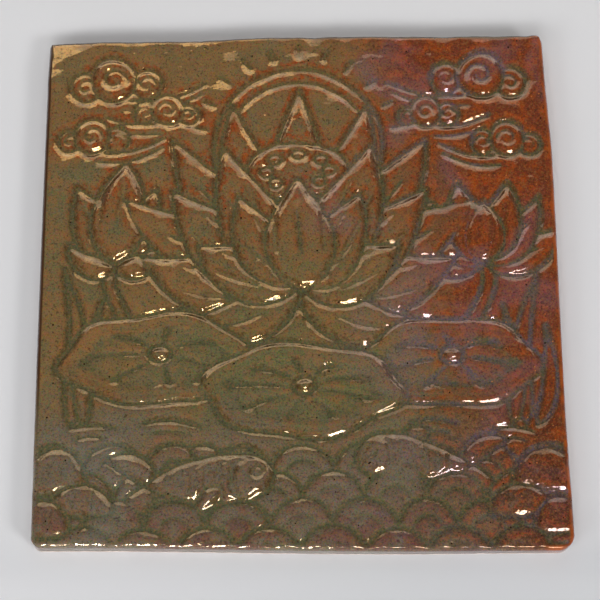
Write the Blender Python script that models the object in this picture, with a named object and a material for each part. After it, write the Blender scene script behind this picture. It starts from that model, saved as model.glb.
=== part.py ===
"""Pottery relief tile: one slab of glazed clay that lies face up, with a lotus pond carved in its face.

The far edge of the picture is towards +Y, the back rests on Z = 0, and the origin is the middle of the back.
"""

import math

import bmesh
import bpy
import numpy as np

COLLECTION = "pottery_relief_tile"
TILE = "tile"

# Slab, in metres
WIDTH = 0.152
LENGTH = 0.1588
THICKNESS = 0.0070
NEAR_CORNERS = (0.0028, 0.0045)
FAR_CORNERS = (0.0012, 0.0030)
ARRIS_WIDTH = 0.0013
ARRIS_DROP = 0.0012
BACK_ARRIS = 0.0007
LUMP_PLACE = (0.0037, 0.0012)
LUMP_SPREAD = 0.0028
LUMP_RISE = 0.0009
DIP_DEPTH = 0.0013
DIP_REACH = (0.019, 0.0085)

# How far the hand-cut edges lie inside the true rectangle, in metres
LEFT_BOW = 0.0003
RIGHT_HOLLOW = 0.0002
RIGHT_TAPER = 0.0014
RIGHT_FLARE = 0.0005
NEAR_TAPER = 0.0018
FAR_TAPER = 0.0011
FOOT_LEAN = 0.0002
LEAN_FADE = 4

# Where along an edge each of these begins and is full: 0 is the tile's middle and 1 or -1 its side
HOLLOW_MIDDLE = -0.45
HOLLOW_REACH = 0.9
RIGHT_TAPER_SPAN = (0.45, 1.0)
RIGHT_FLARE_SPAN = (-0.5, -0.9)
NEAR_TAPER_SPAN = (0.5, -1.0)
FAR_TAPER_SPAN = (0.0, -0.55)

# Carving, in metres
GROOVE_REACH = 0.00075
GROOVE_DEPTH = 0.00075
PILLOW_RISE = 0.0007
PILLOW_REACH = 0.0020
MARK_MARGIN = 4.0 * PILLOW_REACH
PLAIN_DISTANCE = 6.0 * PILLOW_REACH
LAYER_RISE = 0.00022
LAYER_EDGE = 0.0034
HAND_WAVER = 0.0007
RIM_MARGIN = 0.0022
RIM_LEVEL = 0.0004

# Surface mesh
GRID_STEP = 0.0007
FACE_TRIANGLES = 9400
SHARP_ANGLE = 50.0

# The drawing is laid out on a square of 100 by 100 units, with its middle at the tile's middle
DRAWING = 100.0
PETAL_BLUNT = 0.7
DISH_SHARE = (0.86, 0.8)
DISH_DROP = 3.5

GLAZE_COLOUR = (0.20, 0.12, 0.05, 1.0)
GLAZE_ROUGHNESS = 0.22
GLAZE_COAT = 0.6


class Mark:
    """A cut line, or the outline of a form that hides what lies behind it."""

    def __init__(self, line, layer=None, swell=1.0, strength=1.0):
        self.line = np.asarray(line, float)
        self.layer = layer
        self.swell = swell
        self.strength = strength

    @property
    def is_form(self):
        return self.layer is not None


def form(outline, layer, swell=1.0, strength=1.0):
    return Mark(outline, layer=layer, swell=swell, strength=strength)


def cut(line, strength=1.0):
    return Mark(line, strength=strength)


def smooth(share):
    share = np.clip(share, 0.0, 1.0)
    return share * share * (3.0 - 2.0 * share)


def eased(share, span):
    start, full = span
    return smooth((share - start) / (full - start))


def polar(centre, angle, length):
    turn = math.radians(angle)
    return (centre[0] + length * math.cos(turn), centre[1] + length * math.sin(turn))


def arc(centre, radii, start, end, points=9):
    turn = np.radians(np.linspace(start, end, points))
    return np.column_stack([centre[0] + radii[0] * np.cos(turn), centre[1] + radii[1] * np.sin(turn)])


def ring(centre, radii, points=12):
    return arc(centre, radii, 0.0, 360.0 - 360.0 / points, points)


def spiral(centre, radius, start, turns, core=0.22):
    run = np.linspace(0.0, 1.0, max(6, int(abs(turns) * 10)))
    reach = radius * (1.0 - (1.0 - core) * run)
    turn = math.radians(start) + 2.0 * math.pi * turns * run
    return np.column_stack([centre[0] + reach * np.cos(turn), centre[1] + reach * np.sin(turn)])


def bend(start, middle, end, points=6):
    first, pull, last = (np.array(place, float) for place in (start, middle, end))
    run = np.linspace(0.0, 1.0, points)[:, None]
    return (1.0 - run) ** 2 * first + 2.0 * run * (1.0 - run) * pull + run ** 2 * last


def across(line):
    """Unit normals along a line."""
    run = np.gradient(line, axis=0)
    return np.column_stack([-run[:, 1], run[:, 0]]) / np.linalg.norm(run, axis=1)[:, None]


def middle_line(root, tip, bow, points):
    root, tip = np.array(root, float), np.array(tip, float)
    axis = tip - root
    side = np.array([-axis[1], axis[0]])
    run = np.linspace(0.0, 1.0, points)[:, None]
    return root + run * axis + 4.0 * run * (1.0 - run) * bow * side


def blade(root, tip, half, bow=0.0, widest=0.4, blunt=0.6, points=8):
    """Closed petal, leaf or body: half is its half width, bow how far its middle line leans to the left."""
    line = middle_line(root, tip, bow, points)
    run = np.linspace(0.0, 1.0, points)
    sharp = blunt * (1.0 - widest) / widest
    reach = half * (run / widest) ** blunt * ((1.0 - run) / (1.0 - widest)) ** sharp
    offset = across(line) * reach[:, None]
    return np.vstack([line + offset, (line - offset)[-2:0:-1]])


def ribbon(line, half):
    offset = across(line) * half
    return np.vstack([line + offset, (line - offset)[::-1]])


def rounded(outline):
    """Cut the corners off a closed outline, so that it turns softly."""
    following = np.roll(outline, -1, axis=0)
    return np.stack([0.75 * outline + 0.25 * following, 0.25 * outline + 0.75 * following], axis=1).reshape(-1, 2)


def petal(root, tip, half, bow, layer, veins=0):
    marks = [form(blade(root, tip, half, bow, blunt=PETAL_BLUNT), layer, 1.2)]
    for number in range(veins):
        line = middle_line(root, tip, bow, 7)
        shift = (number - (veins - 1) / 2.0) * half * 0.7
        marks.append(cut((line + across(line) * shift)[2:6], 0.6))
    return marks


def fan(root, spreads, length, half, bow, layer, veins=0):
    """Pairs of petals about the upright, the widest pair first."""
    marks = []
    for spread in spreads:
        for side in (-1, 1):
            marks += petal(root, polar(root, 90.0 + side * spread, length), half, side * bow, layer, veins)
    return marks


def seed_pod(centre, radii, seeds):
    marks = [form(ring(centre, radii, 14), 3.0)]
    for number in range(seeds):
        turn = math.radians(360.0 * number / seeds)
        place = (centre[0] + 0.62 * radii[0] * math.cos(turn), centre[1] + 0.56 * radii[1] * math.sin(turn))
        marks.append(form(ring(place, (1.3, 1.0), 6), 4.0))
    return marks


def bloom():
    root = (0.0, -0.5)
    marks = fan(root, (64, 41, 20), 38.0, 6.4, 0.06, 1.0) + petal(root, (0.0, 39.0), 5.6, 0.0, 1.4)
    marks += seed_pod((0.0, 22.0), (10.0, 5.8), 8)
    marks += fan(root, (80, 53, 27), 31.0, 6.6, 0.09, 2.5, 1)
    marks += fan(root, (106,), 25.0, 4.6, 0.16, 2.0, 1)
    marks += fan(root, (68, 34), 21.5, 5.4, 0.09, 4.0, 1)
    marks += petal((0.0, -2.0), (0.0, 20.5), 6.8, 0.0, 5.0, 2)
    return marks


def stem(low, pull, high, half=1.2):
    return [form(ribbon(bend(low, pull, high), half), 1.5, 0.8)]


def bud(root, size):
    marks = stem((root[0] + 6.0, -12.0), (root[0] - 4.0, 0.0), root)
    marks += fan(root, (27,), size * 0.82, size * 0.2, 0.05, 2.0)
    marks += petal(root, polar(root, 86.0, size), size * 0.27, 0.0, 4.0, 2)
    marks += fan((root[0], root[1] - 0.8), (64,), size * 0.5, size * 0.11, 0.2, 3.0)
    return marks


def half_open(root, size):
    marks = stem((root[0] - 7.0, -12.0), (root[0] + 4.0, -2.0), root)
    marks += fan(root, (68, 40), size, size * 0.22, 0.1, 1.5)
    marks += fan(root, (17,), size * 1.02, size * 0.25, 0.04, 3.0)
    marks += petal(root, polar(root, 90.0, size * 0.76), size * 0.23, 0.0, 4.5, 1)
    return marks


def pad(centre, radii, veins, layer, turn):
    """Lily pad seen from the side: a wavy raised rim round a dish, with veins from its hub."""
    angles = np.radians(np.linspace(0.0, 360.0, 25)[:-1])
    wave = 1.0 + 0.055 * np.sin(6.0 * angles + turn)
    outline = np.column_stack([centre[0] + radii[0] * wave * np.cos(angles),
                               centre[1] + radii[1] * wave * np.sin(angles)])
    hub = (centre[0] + 0.5, centre[1] + radii[1] * 0.12)
    dish = (outline - centre) * DISH_SHARE + centre
    marks = [form(outline, layer, 1.2), form(dish, layer - DISH_DROP, 0.3, 0.3), form(ring(hub, (2.1, 1.5), 7), layer)]
    for number in range(veins):
        angle = math.radians(360.0 * number / veins + 20.0 + 12.0 * turn)
        start = (hub[0] + 3.2 * math.cos(angle), hub[1] + 2.3 * math.sin(angle))
        end = (centre[0] + 0.74 * radii[0] * math.cos(angle), centre[1] + 0.68 * radii[1] * math.sin(angle))
        pull = ((start[0] + end[0]) / 2.0, (start[1] + end[1]) / 2.0 + 0.9)
        marks.append(cut(bend(start, pull, end, 4), 0.6))
    return marks


def cloud(centre, size, facing):
    """Three curls and a tail that trails away from the way the cloud faces."""
    x, y = centre
    tail = [(x - facing * reach * size, y - drop * size) for reach, drop in ((0.6, 1.0), (2.4, 1.15), (4.0, 0.3))]
    marks = [cut(bend(*tail))]
    for shift, drop, share in ((-1.45, 0.2, 0.68), (1.25, 0.3, 0.64), (0.0, 0.0, 1.0)):
        place = (x + facing * shift * size, y - drop * size)
        marks.append(form(ring(place, (share * size, share * size), 11), 2.0))
        if share == 1.0:
            marks.append(cut(spiral(place, size * 0.6, 90.0 + 110.0 * facing, -1.1 * facing)))
    return marks


def sun(centre, radius, rays):
    """Disc behind the bloom, with a rim and short rays."""
    marks = [form(ring(centre, (radius, radius), 26), 0.5, 0.8)]
    marks.append(cut(arc(centre, (radius * 0.84, radius * 0.84), 8.0, 172.0, 15), 0.8))
    for number in range(rays):
        angle = 12.0 + (180.0 - 24.0) * number / (rays - 1)
        start, end = polar(centre, angle, radius + 2.0), polar(centre, angle, radius + 4.6)
        marks.append(cut(np.array([start, end]), 0.8))
    return marks


def carp(place, size, facing, rise):
    """A fish seen from the side: tail, back fin, body, gill, eye and belly fin."""
    head = np.array([place[0] + facing * size * 0.5, place[1] + rise])
    tail = np.array([place[0] - facing * size * 0.5, place[1] - rise])
    up = np.array([0.0, size])
    marks = []
    for side in (1, -1):
        tip = tail + np.array([-facing * size * 0.3, side * size * 0.2])
        marks.append(form(blade(tail + (head - tail) * 0.08, tip, size * 0.085, -side * facing * 0.12, points=6), 2.0))
    fin = head * 0.6 + tail * 0.4
    marks.append(form(blade(fin + up * 0.1, fin - (head - tail) * 0.26 + up * 0.27, size * 0.09, 0.0, points=6), 2.0))
    marks.append(form(blade(head, tail, size * 0.19, 0.0, widest=0.36, blunt=0.5, points=9), 4.0, 1.3))
    gill = head * 0.74 + tail * 0.26
    marks.append(cut(arc(gill, (size * 0.07, size * 0.13), 90.0 - facing * 20.0, 90.0 + facing * 200.0, 5)))
    marks.append(form(ring(head * 0.87 + tail * 0.13 + up * 0.035, (0.9, 0.9), 6), 5.0))
    marks.append(form(blade(fin - up * 0.06, fin - (head - tail) * 0.2 - up * 0.24, size * 0.07, 0.0, points=6), 5.0))
    return marks


def scallops(low, shift, layer, spacing, radii):
    """One row of overlapping wave crests, each with an inner line."""
    marks = []
    for number in range(-5, 6):
        centre = (number * spacing + shift, low)
        if abs(centre[0]) < DRAWING / 2.0 + 2.0:
            marks.append(form(arc(centre, radii, -28.0, 208.0, 11), layer, 0.8, 0.75))
            marks.append(cut(arc(centre, (radii[0] * 0.52, radii[1] * 0.5), 12.0, 168.0, 6), 0.6))
    return marks


def water():
    rows, top, drop, spacing, radii = 4, -36.6, 5.0, 11.6, (6.1, 6.0)
    marks = []
    for row in range(rows):
        shift = spacing / 2.0 if row % 2 else 0.0
        marks += scallops(top - drop * row, shift, 0.5 + 0.4 * row, spacing, radii)
        if row == 0:
            marks += carp((21.0, -33.6), 22.0, -1, 0.8)
        if row == 1:
            marks += carp((-17.0, -37.0), 24.0, 1, 1.2)
    return marks


def ripples():
    marks = []
    for x, y, width in ((-39.0, -27.5, 9.0), (39.5, -28.2, 8.0), (-24.0, -27.0, 10.0), (25.0, -26.8, 9.0)):
        marks.append(cut(bend((x - width / 2.0, y), (x, y + 1.3), (x + width / 2.0, y - 0.2), 4)))
    return marks


def rock(place, half, height, side):
    x, y = place
    corners = ((-1.0, -1.0), (-0.95, -0.5), (-0.6, -0.12), (-0.1, 0.0), (0.4, -0.16), (0.85, -0.45), (1.0, -1.0))
    return form(rounded(np.array([(side * (x + out * half), y + up * height) for out, up in corners])), 2.5)


def rocks():
    marks = []
    for side in (-1, 1):
        for place, half, height in (((46.5, -31.0), 7.0, 9.0), ((41.5, -38.0), 6.5, 6.0), ((49.0, -40.5), 6.0, 7.0)):
            marks.append(rock(place, half, height, side))
    return marks


def reeds():
    blades = (((-43.0, -27.0), (-45.2, 3.0), 1.8, -0.05), ((-40.5, -27.0), (-38.0, -3.0), 1.6, 0.06),
              ((42.0, -27.0), (45.6, 1.0), 1.8, 0.05), ((39.5, -27.0), (39.0, -5.0), 1.5, -0.07),
              ((44.0, -27.0), (47.2, -9.0), 1.5, -0.1))
    return [form(blade(root, tip, half, bow, 0.35, 0.6, 7), 1.5) for root, tip, half, bow in blades]


def clouds():
    marks = []
    for centre, size, facing in (((-36.5, 41.0), 4.5, -1), ((36.5, 41.5), 4.6, 1), ((-41.0, 29.5), 3.6, -1),
                                 ((41.5, 28.5), 3.5, 1), ((-25.5, 34.5), 3.2, 1), ((25.5, 34.0), 3.1, -1)):
        marks += cloud(centre, size, facing)
    return marks


def drawing():
    """Every mark, from the back of the picture to its front."""
    marks = sun((0.0, 26.5), 16.5, 11) + clouds() + reeds()
    marks += bud((-35.5, 4.0), 20.0) + half_open((35.8, 3.5), 16.5)
    marks += bloom()
    marks += pad((-27.5, -14.5), (18.0, 8.8), 7, 2.0, 0.4)
    marks += pad((28.0, -15.5), (17.5, 8.4), 7, 2.0, 1.9)
    marks += pad((0.5, -20.5), (19.0, 8.8), 9, 3.0, 3.1)
    marks += ripples() + water() + rocks()
    return marks


def placed(marks):
    """Move the marks from drawing units to metres, with the waver of a hand."""
    for mark in marks:
        x, y = mark.line[:, 0], mark.line[:, 1]
        waver = np.column_stack([0.6 * np.sin(0.11 * x + 0.17 * y + 1.3) + 0.4 * np.sin(0.31 * y - 0.23 * x + 0.4),
                                 0.6 * np.sin(0.13 * x - 0.12 * y + 2.1) + 0.4 * np.sin(0.29 * x + 0.21 * y + 3.3)])
        mark.line = mark.line * (WIDTH / DRAWING, LENGTH / DRAWING) + HAND_WAVER * waver
    return marks


def distance(points, line):
    """Distance from each point to a line, and how far along it the nearest place is."""
    starts, steps = line[:-1], np.diff(line, axis=0)
    lengths = np.maximum(np.linalg.norm(steps, axis=1), 1e-9)
    before = np.concatenate([[0.0], np.cumsum(lengths)])
    nearest, along = np.full(len(points), np.inf), np.zeros(len(points))
    for start, step, length, passed in zip(starts, steps, lengths, before):
        share = np.clip((points - start) @ step / length ** 2, 0.0, 1.0)
        apart = np.linalg.norm(points - start - share[:, None] * step, axis=1)
        closer = apart < nearest
        nearest[closer], along[closer] = apart[closer], (passed + share[closer] * length) / before[-1]
    return nearest, along


def inside(points, outline):
    """Tell which points lie within a closed outline, by counting the sides that each one's ray crosses."""
    x, y = points.T
    odd = np.zeros(len(points), bool)
    for (x0, y0), (x1, y1) in zip(outline, np.roll(outline, -1, axis=0)):
        if y0 != y1:
            odd ^= ((y0 > y) != (y1 > y)) & (x < (x1 - x0) * (y - y0) / (y1 - y0) + x0)
    return odd


def carved(points):
    """Height of the carving above the plain face."""
    base, groove = np.zeros(len(points)), np.zeros(len(points))
    near, swell = np.full(len(points), PLAIN_DISTANCE), np.ones(len(points))
    for mark in placed(drawing()):
        low, high = mark.line.min(axis=0) - MARK_MARGIN, mark.line.max(axis=0) + MARK_MARGIN
        where = np.nonzero(((points >= low) & (points <= high)).all(axis=1))[0]
        if not len(where):
            continue
        spots = points[where]
        if mark.is_form:
            apart, _ = distance(spots, np.vstack([mark.line, mark.line[:1]]))
            within = inside(spots, mark.line)
            trough = -GROOVE_DEPTH * mark.strength * np.exp(-(apart / GROOVE_REACH) ** 2)
            own, other = where[within], where[~within]
            base[own] += (mark.layer * LAYER_RISE - base[own]) * smooth(apart[within] / LAYER_EDGE)
            groove[own], near[own], swell[own] = trough[within], apart[within], mark.swell
            groove[other] = np.minimum(groove[other], trough[~within])
            near[other] = np.minimum(near[other], apart[~within])
        else:
            apart, along = distance(spots, mark.line)
            taper = mark.strength * (0.5 + 0.5 * np.clip(2.0 * np.sin(math.pi * along), 0.0, 1.0))
            trough = -GROOVE_DEPTH * taper * np.exp(-(apart / (GROOVE_REACH * np.sqrt(taper))) ** 2)
            groove[where] = np.minimum(groove[where], trough)
            near[where] = np.minimum(near[where], apart + GROOVE_REACH * (1.0 - taper))
    return base + groove + PILLOW_RISE * swell * (1.0 - np.exp(-near / PILLOW_REACH))


def edge_insets(across_share, up_share):
    """How far each hand-cut edge lies inside the true rectangle: left, right, near and far."""
    left = LEFT_BOW * up_share ** 2
    right = RIGHT_HOLLOW * smooth(1.0 - np.abs(up_share - HOLLOW_MIDDLE) / HOLLOW_REACH)
    right += RIGHT_TAPER * eased(up_share, RIGHT_TAPER_SPAN) - RIGHT_FLARE * eased(up_share, RIGHT_FLARE_SPAN)
    near = NEAR_TAPER * eased(across_share, NEAR_TAPER_SPAN)
    far = FAR_TAPER * eased(across_share, FAR_TAPER_SPAN)
    return left, right, near, far


def round_corners(x, y):
    """Squeeze each square corner of the grid into a quarter disc, with its own radius at each corner."""
    radius = np.where(y < 0.0, np.where(x < 0.0, *NEAR_CORNERS), np.where(x < 0.0, *FAR_CORNERS))
    beyond_x = np.maximum(np.abs(x) - (WIDTH / 2.0 - radius), 0.0)
    beyond_y = np.maximum(np.abs(y) - (LENGTH / 2.0 - radius), 0.0)
    shrink_x = beyond_x * (1.0 - np.sqrt(1.0 - (beyond_y / radius) ** 2 / 2.0))
    shrink_y = beyond_y * (1.0 - np.sqrt(1.0 - (beyond_x / radius) ** 2 / 2.0))
    return x - np.sign(x) * shrink_x, y - np.sign(y) * shrink_y


def face_points(grid):
    """Take the flat grid, of half size one, to the tile's wavy outline and its carved height."""
    across_share, up_share = grid.T
    x, y = round_corners(across_share * WIDTH / 2.0, up_share * LENGTH / 2.0)
    left, right, near, far = edge_insets(across_share, up_share)
    x += left * np.clip(-across_share, 0.0, 1.0) - right * np.clip(across_share, 0.0, 1.0)
    y += near * np.clip(-up_share, 0.0, 1.0) - far * np.clip(up_share, 0.0, 1.0)
    rim_x, rim_y = (1.0 - np.abs(across_share)) * WIDTH / 2.0, (1.0 - np.abs(up_share)) * LENGTH / 2.0
    rim = np.minimum(rim_x, rim_y)
    turn = 1.0 - np.clip(rim / ARRIS_WIDTH, 0.0, 1.0)
    drop = ARRIS_DROP * (1.0 - np.sqrt(1.0 - turn ** 2))
    lump = np.hypot(x - (WIDTH / 2.0 - LUMP_PLACE[0]), y - (LENGTH / 2.0 - LUMP_PLACE[1]))
    rise = LUMP_RISE * smooth(1.0 - lump / LUMP_SPREAD)
    corner = (x + WIDTH / 2.0) / DIP_REACH[0] + (LENGTH / 2.0 - y) / DIP_REACH[1]
    dip = DIP_DEPTH * np.maximum(1.0 - corner, 0.0)
    relief = RIM_LEVEL + (carved(np.column_stack([x, y])) - RIM_LEVEL) * smooth(rim / RIM_MARGIN)
    z = THICKNESS + relief - drop + rise - dip
    return np.column_stack([x, y, z])


def glaze_material():
    material = bpy.data.materials.new("glaze")
    material.use_nodes = True
    shader = material.node_tree.nodes["Principled BSDF"]
    shader.inputs["Base Color"].default_value = GLAZE_COLOUR
    shader.inputs["Roughness"].default_value = GLAZE_ROUGHNESS
    shader.inputs["Coat Weight"].default_value = GLAZE_COAT
    material.diffuse_color = GLAZE_COLOUR
    return material


def carved_face(collection):
    """The carved face alone: an open sheet, with its faces thinned out where it is plain."""
    mesh = bpy.data.meshes.new("carved_face")
    shape = bmesh.new()
    bmesh.ops.create_grid(shape, x_segments=round(WIDTH / GRID_STEP), y_segments=round(LENGTH / GRID_STEP), size=1.0)
    shape.to_mesh(mesh)
    shape.free()
    grid = np.empty(len(mesh.vertices) * 3)
    mesh.vertices.foreach_get("co", grid)
    mesh.vertices.foreach_set("co", face_points(grid.reshape(-1, 3)[:, :2]).ravel())
    sheet = bpy.data.objects.new("carved_face", mesh)
    collection.objects.link(sheet)
    thin = sheet.modifiers.new("Thin out", "DECIMATE")
    thin.ratio = min(1.0, FACE_TRIANGLES / (2.0 * len(mesh.polygons)))
    return sheet


def close_slab(sheet):
    """Evaluate the sheet and give it its sides and its flat back."""
    evaluated = sheet.evaluated_get(bpy.context.evaluated_depsgraph_get())
    mesh = bpy.data.meshes.new_from_object(evaluated)
    mesh.name = TILE
    shape = bmesh.new()
    shape.from_mesh(mesh)
    for height, inset, lean in ((BACK_ARRIS, 0.0, FOOT_LEAN), (0.0, BACK_ARRIS, 0.0)):
        rim = [edge for edge in shape.edges if edge.is_boundary]
        skirt = bmesh.ops.extrude_edge_only(shape, edges=rim)["geom"]
        for vertex in (item for item in skirt if isinstance(item, bmesh.types.BMVert)):
            right_share, far_share = vertex.co.x / (WIDTH / 2.0), vertex.co.y / (LENGTH / 2.0)
            vertex.co.x -= inset * right_share
            vertex.co.y += lean * right_share * max(-far_share, 0.0) ** LEAN_FADE - inset * far_share
            vertex.co.z = height
    back = [edge for edge in shape.edges if edge.is_boundary]
    bmesh.ops.holes_fill(shape, edges=back, sides=0)
    bmesh.ops.recalc_face_normals(shape, faces=shape.faces)
    bmesh.ops.triangulate(shape, faces=shape.faces)
    shape.to_mesh(mesh)
    shape.free()
    return mesh


def build_tile(collection):
    sheet = carved_face(collection)
    bpy.context.view_layer.update()
    mesh = close_slab(sheet)
    bpy.data.objects.remove(sheet, do_unlink=True)
    mesh.shade_smooth()
    mesh.set_sharp_from_angle(angle=math.radians(SHARP_ANGLE))
    mesh.materials.append(glaze_material())
    tile = bpy.data.objects.new(TILE, mesh)
    collection.objects.link(tile)
    return tile


def main():
    for item in list(bpy.data.objects):
        bpy.data.objects.remove(item, do_unlink=True)
    collection = bpy.data.collections.new(COLLECTION)
    bpy.context.scene.collection.children.link(collection)
    build_tile(collection)


main()
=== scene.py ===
"""Looks of a hand-made relief tile.

A lotus pond is carved in clay, under a lustre glaze that pools green in the cuts. The tile lies face up.
+X is the right of the picture, +Y its far edge, and the bare back rests on Z = 0.
"""

import logging
import math
from dataclasses import dataclass, field
from enum import Enum
from typing import Optional, Sequence

import bpy
import numpy as np
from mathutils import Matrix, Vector


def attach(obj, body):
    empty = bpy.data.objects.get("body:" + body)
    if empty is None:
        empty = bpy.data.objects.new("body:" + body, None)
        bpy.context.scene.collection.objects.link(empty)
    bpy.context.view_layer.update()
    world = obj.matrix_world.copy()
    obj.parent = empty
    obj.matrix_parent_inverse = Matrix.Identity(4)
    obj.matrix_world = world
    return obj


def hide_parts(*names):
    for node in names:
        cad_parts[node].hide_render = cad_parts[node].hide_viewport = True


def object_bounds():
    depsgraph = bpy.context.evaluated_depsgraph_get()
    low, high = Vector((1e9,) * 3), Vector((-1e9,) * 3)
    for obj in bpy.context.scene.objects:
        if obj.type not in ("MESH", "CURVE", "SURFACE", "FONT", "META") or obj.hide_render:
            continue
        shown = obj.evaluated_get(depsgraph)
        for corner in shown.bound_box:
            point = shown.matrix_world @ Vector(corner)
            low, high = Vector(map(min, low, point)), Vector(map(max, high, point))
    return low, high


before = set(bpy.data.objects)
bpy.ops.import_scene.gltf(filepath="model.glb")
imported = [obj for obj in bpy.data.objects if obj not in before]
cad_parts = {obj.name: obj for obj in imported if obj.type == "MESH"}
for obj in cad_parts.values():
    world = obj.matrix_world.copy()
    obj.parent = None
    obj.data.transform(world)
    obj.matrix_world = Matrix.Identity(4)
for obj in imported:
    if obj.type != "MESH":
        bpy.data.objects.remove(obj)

CAD_LOW, CAD_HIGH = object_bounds()
LOG = logging.getLogger("tile")
MM = 0.001
BUMPS_REACH = 0.085

Place = Sequence[float]
Pair = tuple[float, float]
Colour = tuple[float, float, float, float]
BumpSet = tuple[float, float, int]
Span = tuple[float, ...]
Noise = tuple[float, ...]
Wave = tuple[float, float, float, float]
Socket = bpy.types.NodeSocket


def srgb(red: int, green: int, blue: int) -> Colour:
    """Turn a display colour of 0 to 255 into the linear colour that a shader takes."""
    linear = [(part / 255.0) ** 2.2 for part in (red, green, blue)]
    return (linear[0], linear[1], linear[2], 1.0)


def smooth(share: np.ndarray) -> np.ndarray:
    """Ease a share from 0 to 1, flat at both ends."""
    share = np.clip(share, 0.0, 1.0)
    return share * share * (3.0 - 2.0 * share)


def eased(share: np.ndarray, span: Pair) -> np.ndarray:
    """Ease from 0 where a span starts to 1 where it is full."""
    return smooth((share - span[0]) / (span[1] - span[0]))


def bumps(x: np.ndarray, y: np.ndarray, spacing: float, seed: int) -> np.ndarray:
    """Make soft random bumps of height about 1, the same each time for one seed.

    Args:
        x: How far each place is across the tile, in metres from its middle.
        y: How far it is along the tile.
        spacing: How far apart the bumps are.
        seed: Which set of bumps.

    Returns:
        The height at each place.
    """
    count = int(2.0 * BUMPS_REACH / spacing) + 4
    lattice = np.random.default_rng(seed).normal(size=(count, count))
    across_place, up_place = (x + BUMPS_REACH) / spacing + 1.0, (y + BUMPS_REACH) / spacing + 1.0
    column, row = np.floor(across_place).astype(int), np.floor(up_place).astype(int)
    across_share, up_share = smooth(across_place - column), smooth(up_place - row)
    low = lattice[row, column] * (1.0 - across_share) + lattice[row, column + 1] * across_share
    high = lattice[row + 1, column] * (1.0 - across_share) + lattice[row + 1, column + 1] * across_share
    return low * (1.0 - up_share) + high * up_share


class Tool(Enum):
    """What the carver's hand does with a line."""

    FORM = "form"
    CUT = "cut"


@dataclass
class Mark:
    """One line of the drawing: the outline of a form, which hides what is behind it, or a cut."""

    line: np.ndarray
    tool: Tool
    layer: float = 0.0
    swell: float = 1.0
    strength: float = 1.0

    def closed(self) -> np.ndarray:
        """Return the line with its first point again at its end."""
        return np.vstack([self.line, self.line[:1]])


def form(outline: np.ndarray, layer: float, swell: float = 1.0, strength: float = 1.0) -> Mark:
    """Make the outline of a form that stands at its own layer, and is cut in as strongly as told."""
    return Mark(np.asarray(outline, float), Tool.FORM, layer=layer, swell=swell, strength=strength)


def cut(line: np.ndarray, strength: float = 1.0) -> Mark:
    """Make a cut that thins out at both ends."""
    return Mark(np.asarray(line, float), Tool.CUT, strength=strength)


def around(centre: Place, radii: Place, turn: float) -> Pair:
    """Return the place at an angle in radians on an ellipse."""
    return (centre[0] + radii[0] * math.cos(turn), centre[1] + radii[1] * math.sin(turn))


def polar(centre: Place, angle: float, length: float) -> Pair:
    """Return the place at an angle in degrees and a distance from a centre."""
    return around(centre, (length, length), math.radians(angle))


def arc(centre: Place, radii: Place, start: float, end: float, points: int = 17) -> np.ndarray:
    """Draw part of an ellipse between two angles in degrees."""
    turn = np.radians(np.linspace(start, end, points))
    return np.column_stack([centre[0] + radii[0] * np.cos(turn), centre[1] + radii[1] * np.sin(turn)])


def ring(centre: Place, radii: Place, points: int = 22) -> np.ndarray:
    """Draw a whole ellipse, with its last point short of its first."""
    return arc(centre, radii, 0.0, 360.0 - 360.0 / points, points)


def spiral(centre: Place, radius: float, start: float, turns: float, core: float = 0.22) -> np.ndarray:
    """Wind a line in from a radius to a core, given as a share of that radius.

    Args:
        centre: The middle it winds round.
        radius: How far out it starts.
        start: The angle it starts at, in degrees.
        turns: How many turns, less than 0 clockwise.
        core: How far from the middle it ends, as a share of the radius.

    Returns:
        The line's points.
    """
    run = np.linspace(0.0, 1.0, max(12, int(abs(turns) * 20)))
    reach = radius * (1.0 - (1.0 - core) * run)
    turn = math.radians(start) + 2.0 * math.pi * turns * run
    return np.column_stack([centre[0] + reach * np.cos(turn), centre[1] + reach * np.sin(turn)])


def bend(start: Place, middle: Place, end: Place, points: int = 10) -> np.ndarray:
    """Draw a curve from start to end that is pulled towards a middle place.

    Args:
        start: Where it starts.
        middle: The place that pulls it.
        end: Where it ends.
        points: How many points it has.

    Returns:
        The line's points.
    """
    first, pull, last = (np.array(place, float) for place in (start, middle, end))
    run = np.linspace(0.0, 1.0, points)[:, None]
    return (1.0 - run) ** 2 * first + 2.0 * run * (1.0 - run) * pull + run ** 2 * last


def across(line: np.ndarray) -> np.ndarray:
    """Return the unit normals along a line."""
    run = np.gradient(line, axis=0)
    return np.column_stack([-run[:, 1], run[:, 0]]) / np.linalg.norm(run, axis=1)[:, None]


def middle_line(root: Place, tip: Place, bow: float, points: int) -> np.ndarray:
    """Draw the bowed middle line of a petal, leaf or body.

    Args:
        root: Where it starts.
        tip: Where it ends.
        bow: How far it leans to the left, as a share of its length.
        points: How many points it has.

    Returns:
        The line's points.
    """
    low, high = np.array(root, float), np.array(tip, float)
    axis = high - low
    side = np.array([-axis[1], axis[0]])
    run = np.linspace(0.0, 1.0, points)[:, None]
    return low + run * axis + 4.0 * run * (1.0 - run) * bow * side


def blade(root: Place, tip: Place, half: float, bow: float = 0.0, widest: float = 0.4,
          blunt: float = 0.6, points: int = 15) -> np.ndarray:
    """Draw a closed petal, leaf or body.

    Args:
        root: Where it starts.
        tip: Where it ends.
        half: Half its greatest width.
        bow: How far its middle line leans to the left, as a share of its length.
        widest: Where along it is widest.
        blunt: How full its root is.
        points: Points along each side.

    Returns:
        The outline's points.
    """
    line = middle_line(root, tip, bow, points)
    run = np.linspace(0.0, 1.0, points)
    sharp = blunt * (1.0 - widest) / widest
    reach = half * (run / widest) ** blunt * ((1.0 - run) / (1.0 - widest)) ** sharp
    offset = across(line) * reach[:, None]
    return np.vstack([line + offset, (line - offset)[-2:0:-1]])


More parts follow.
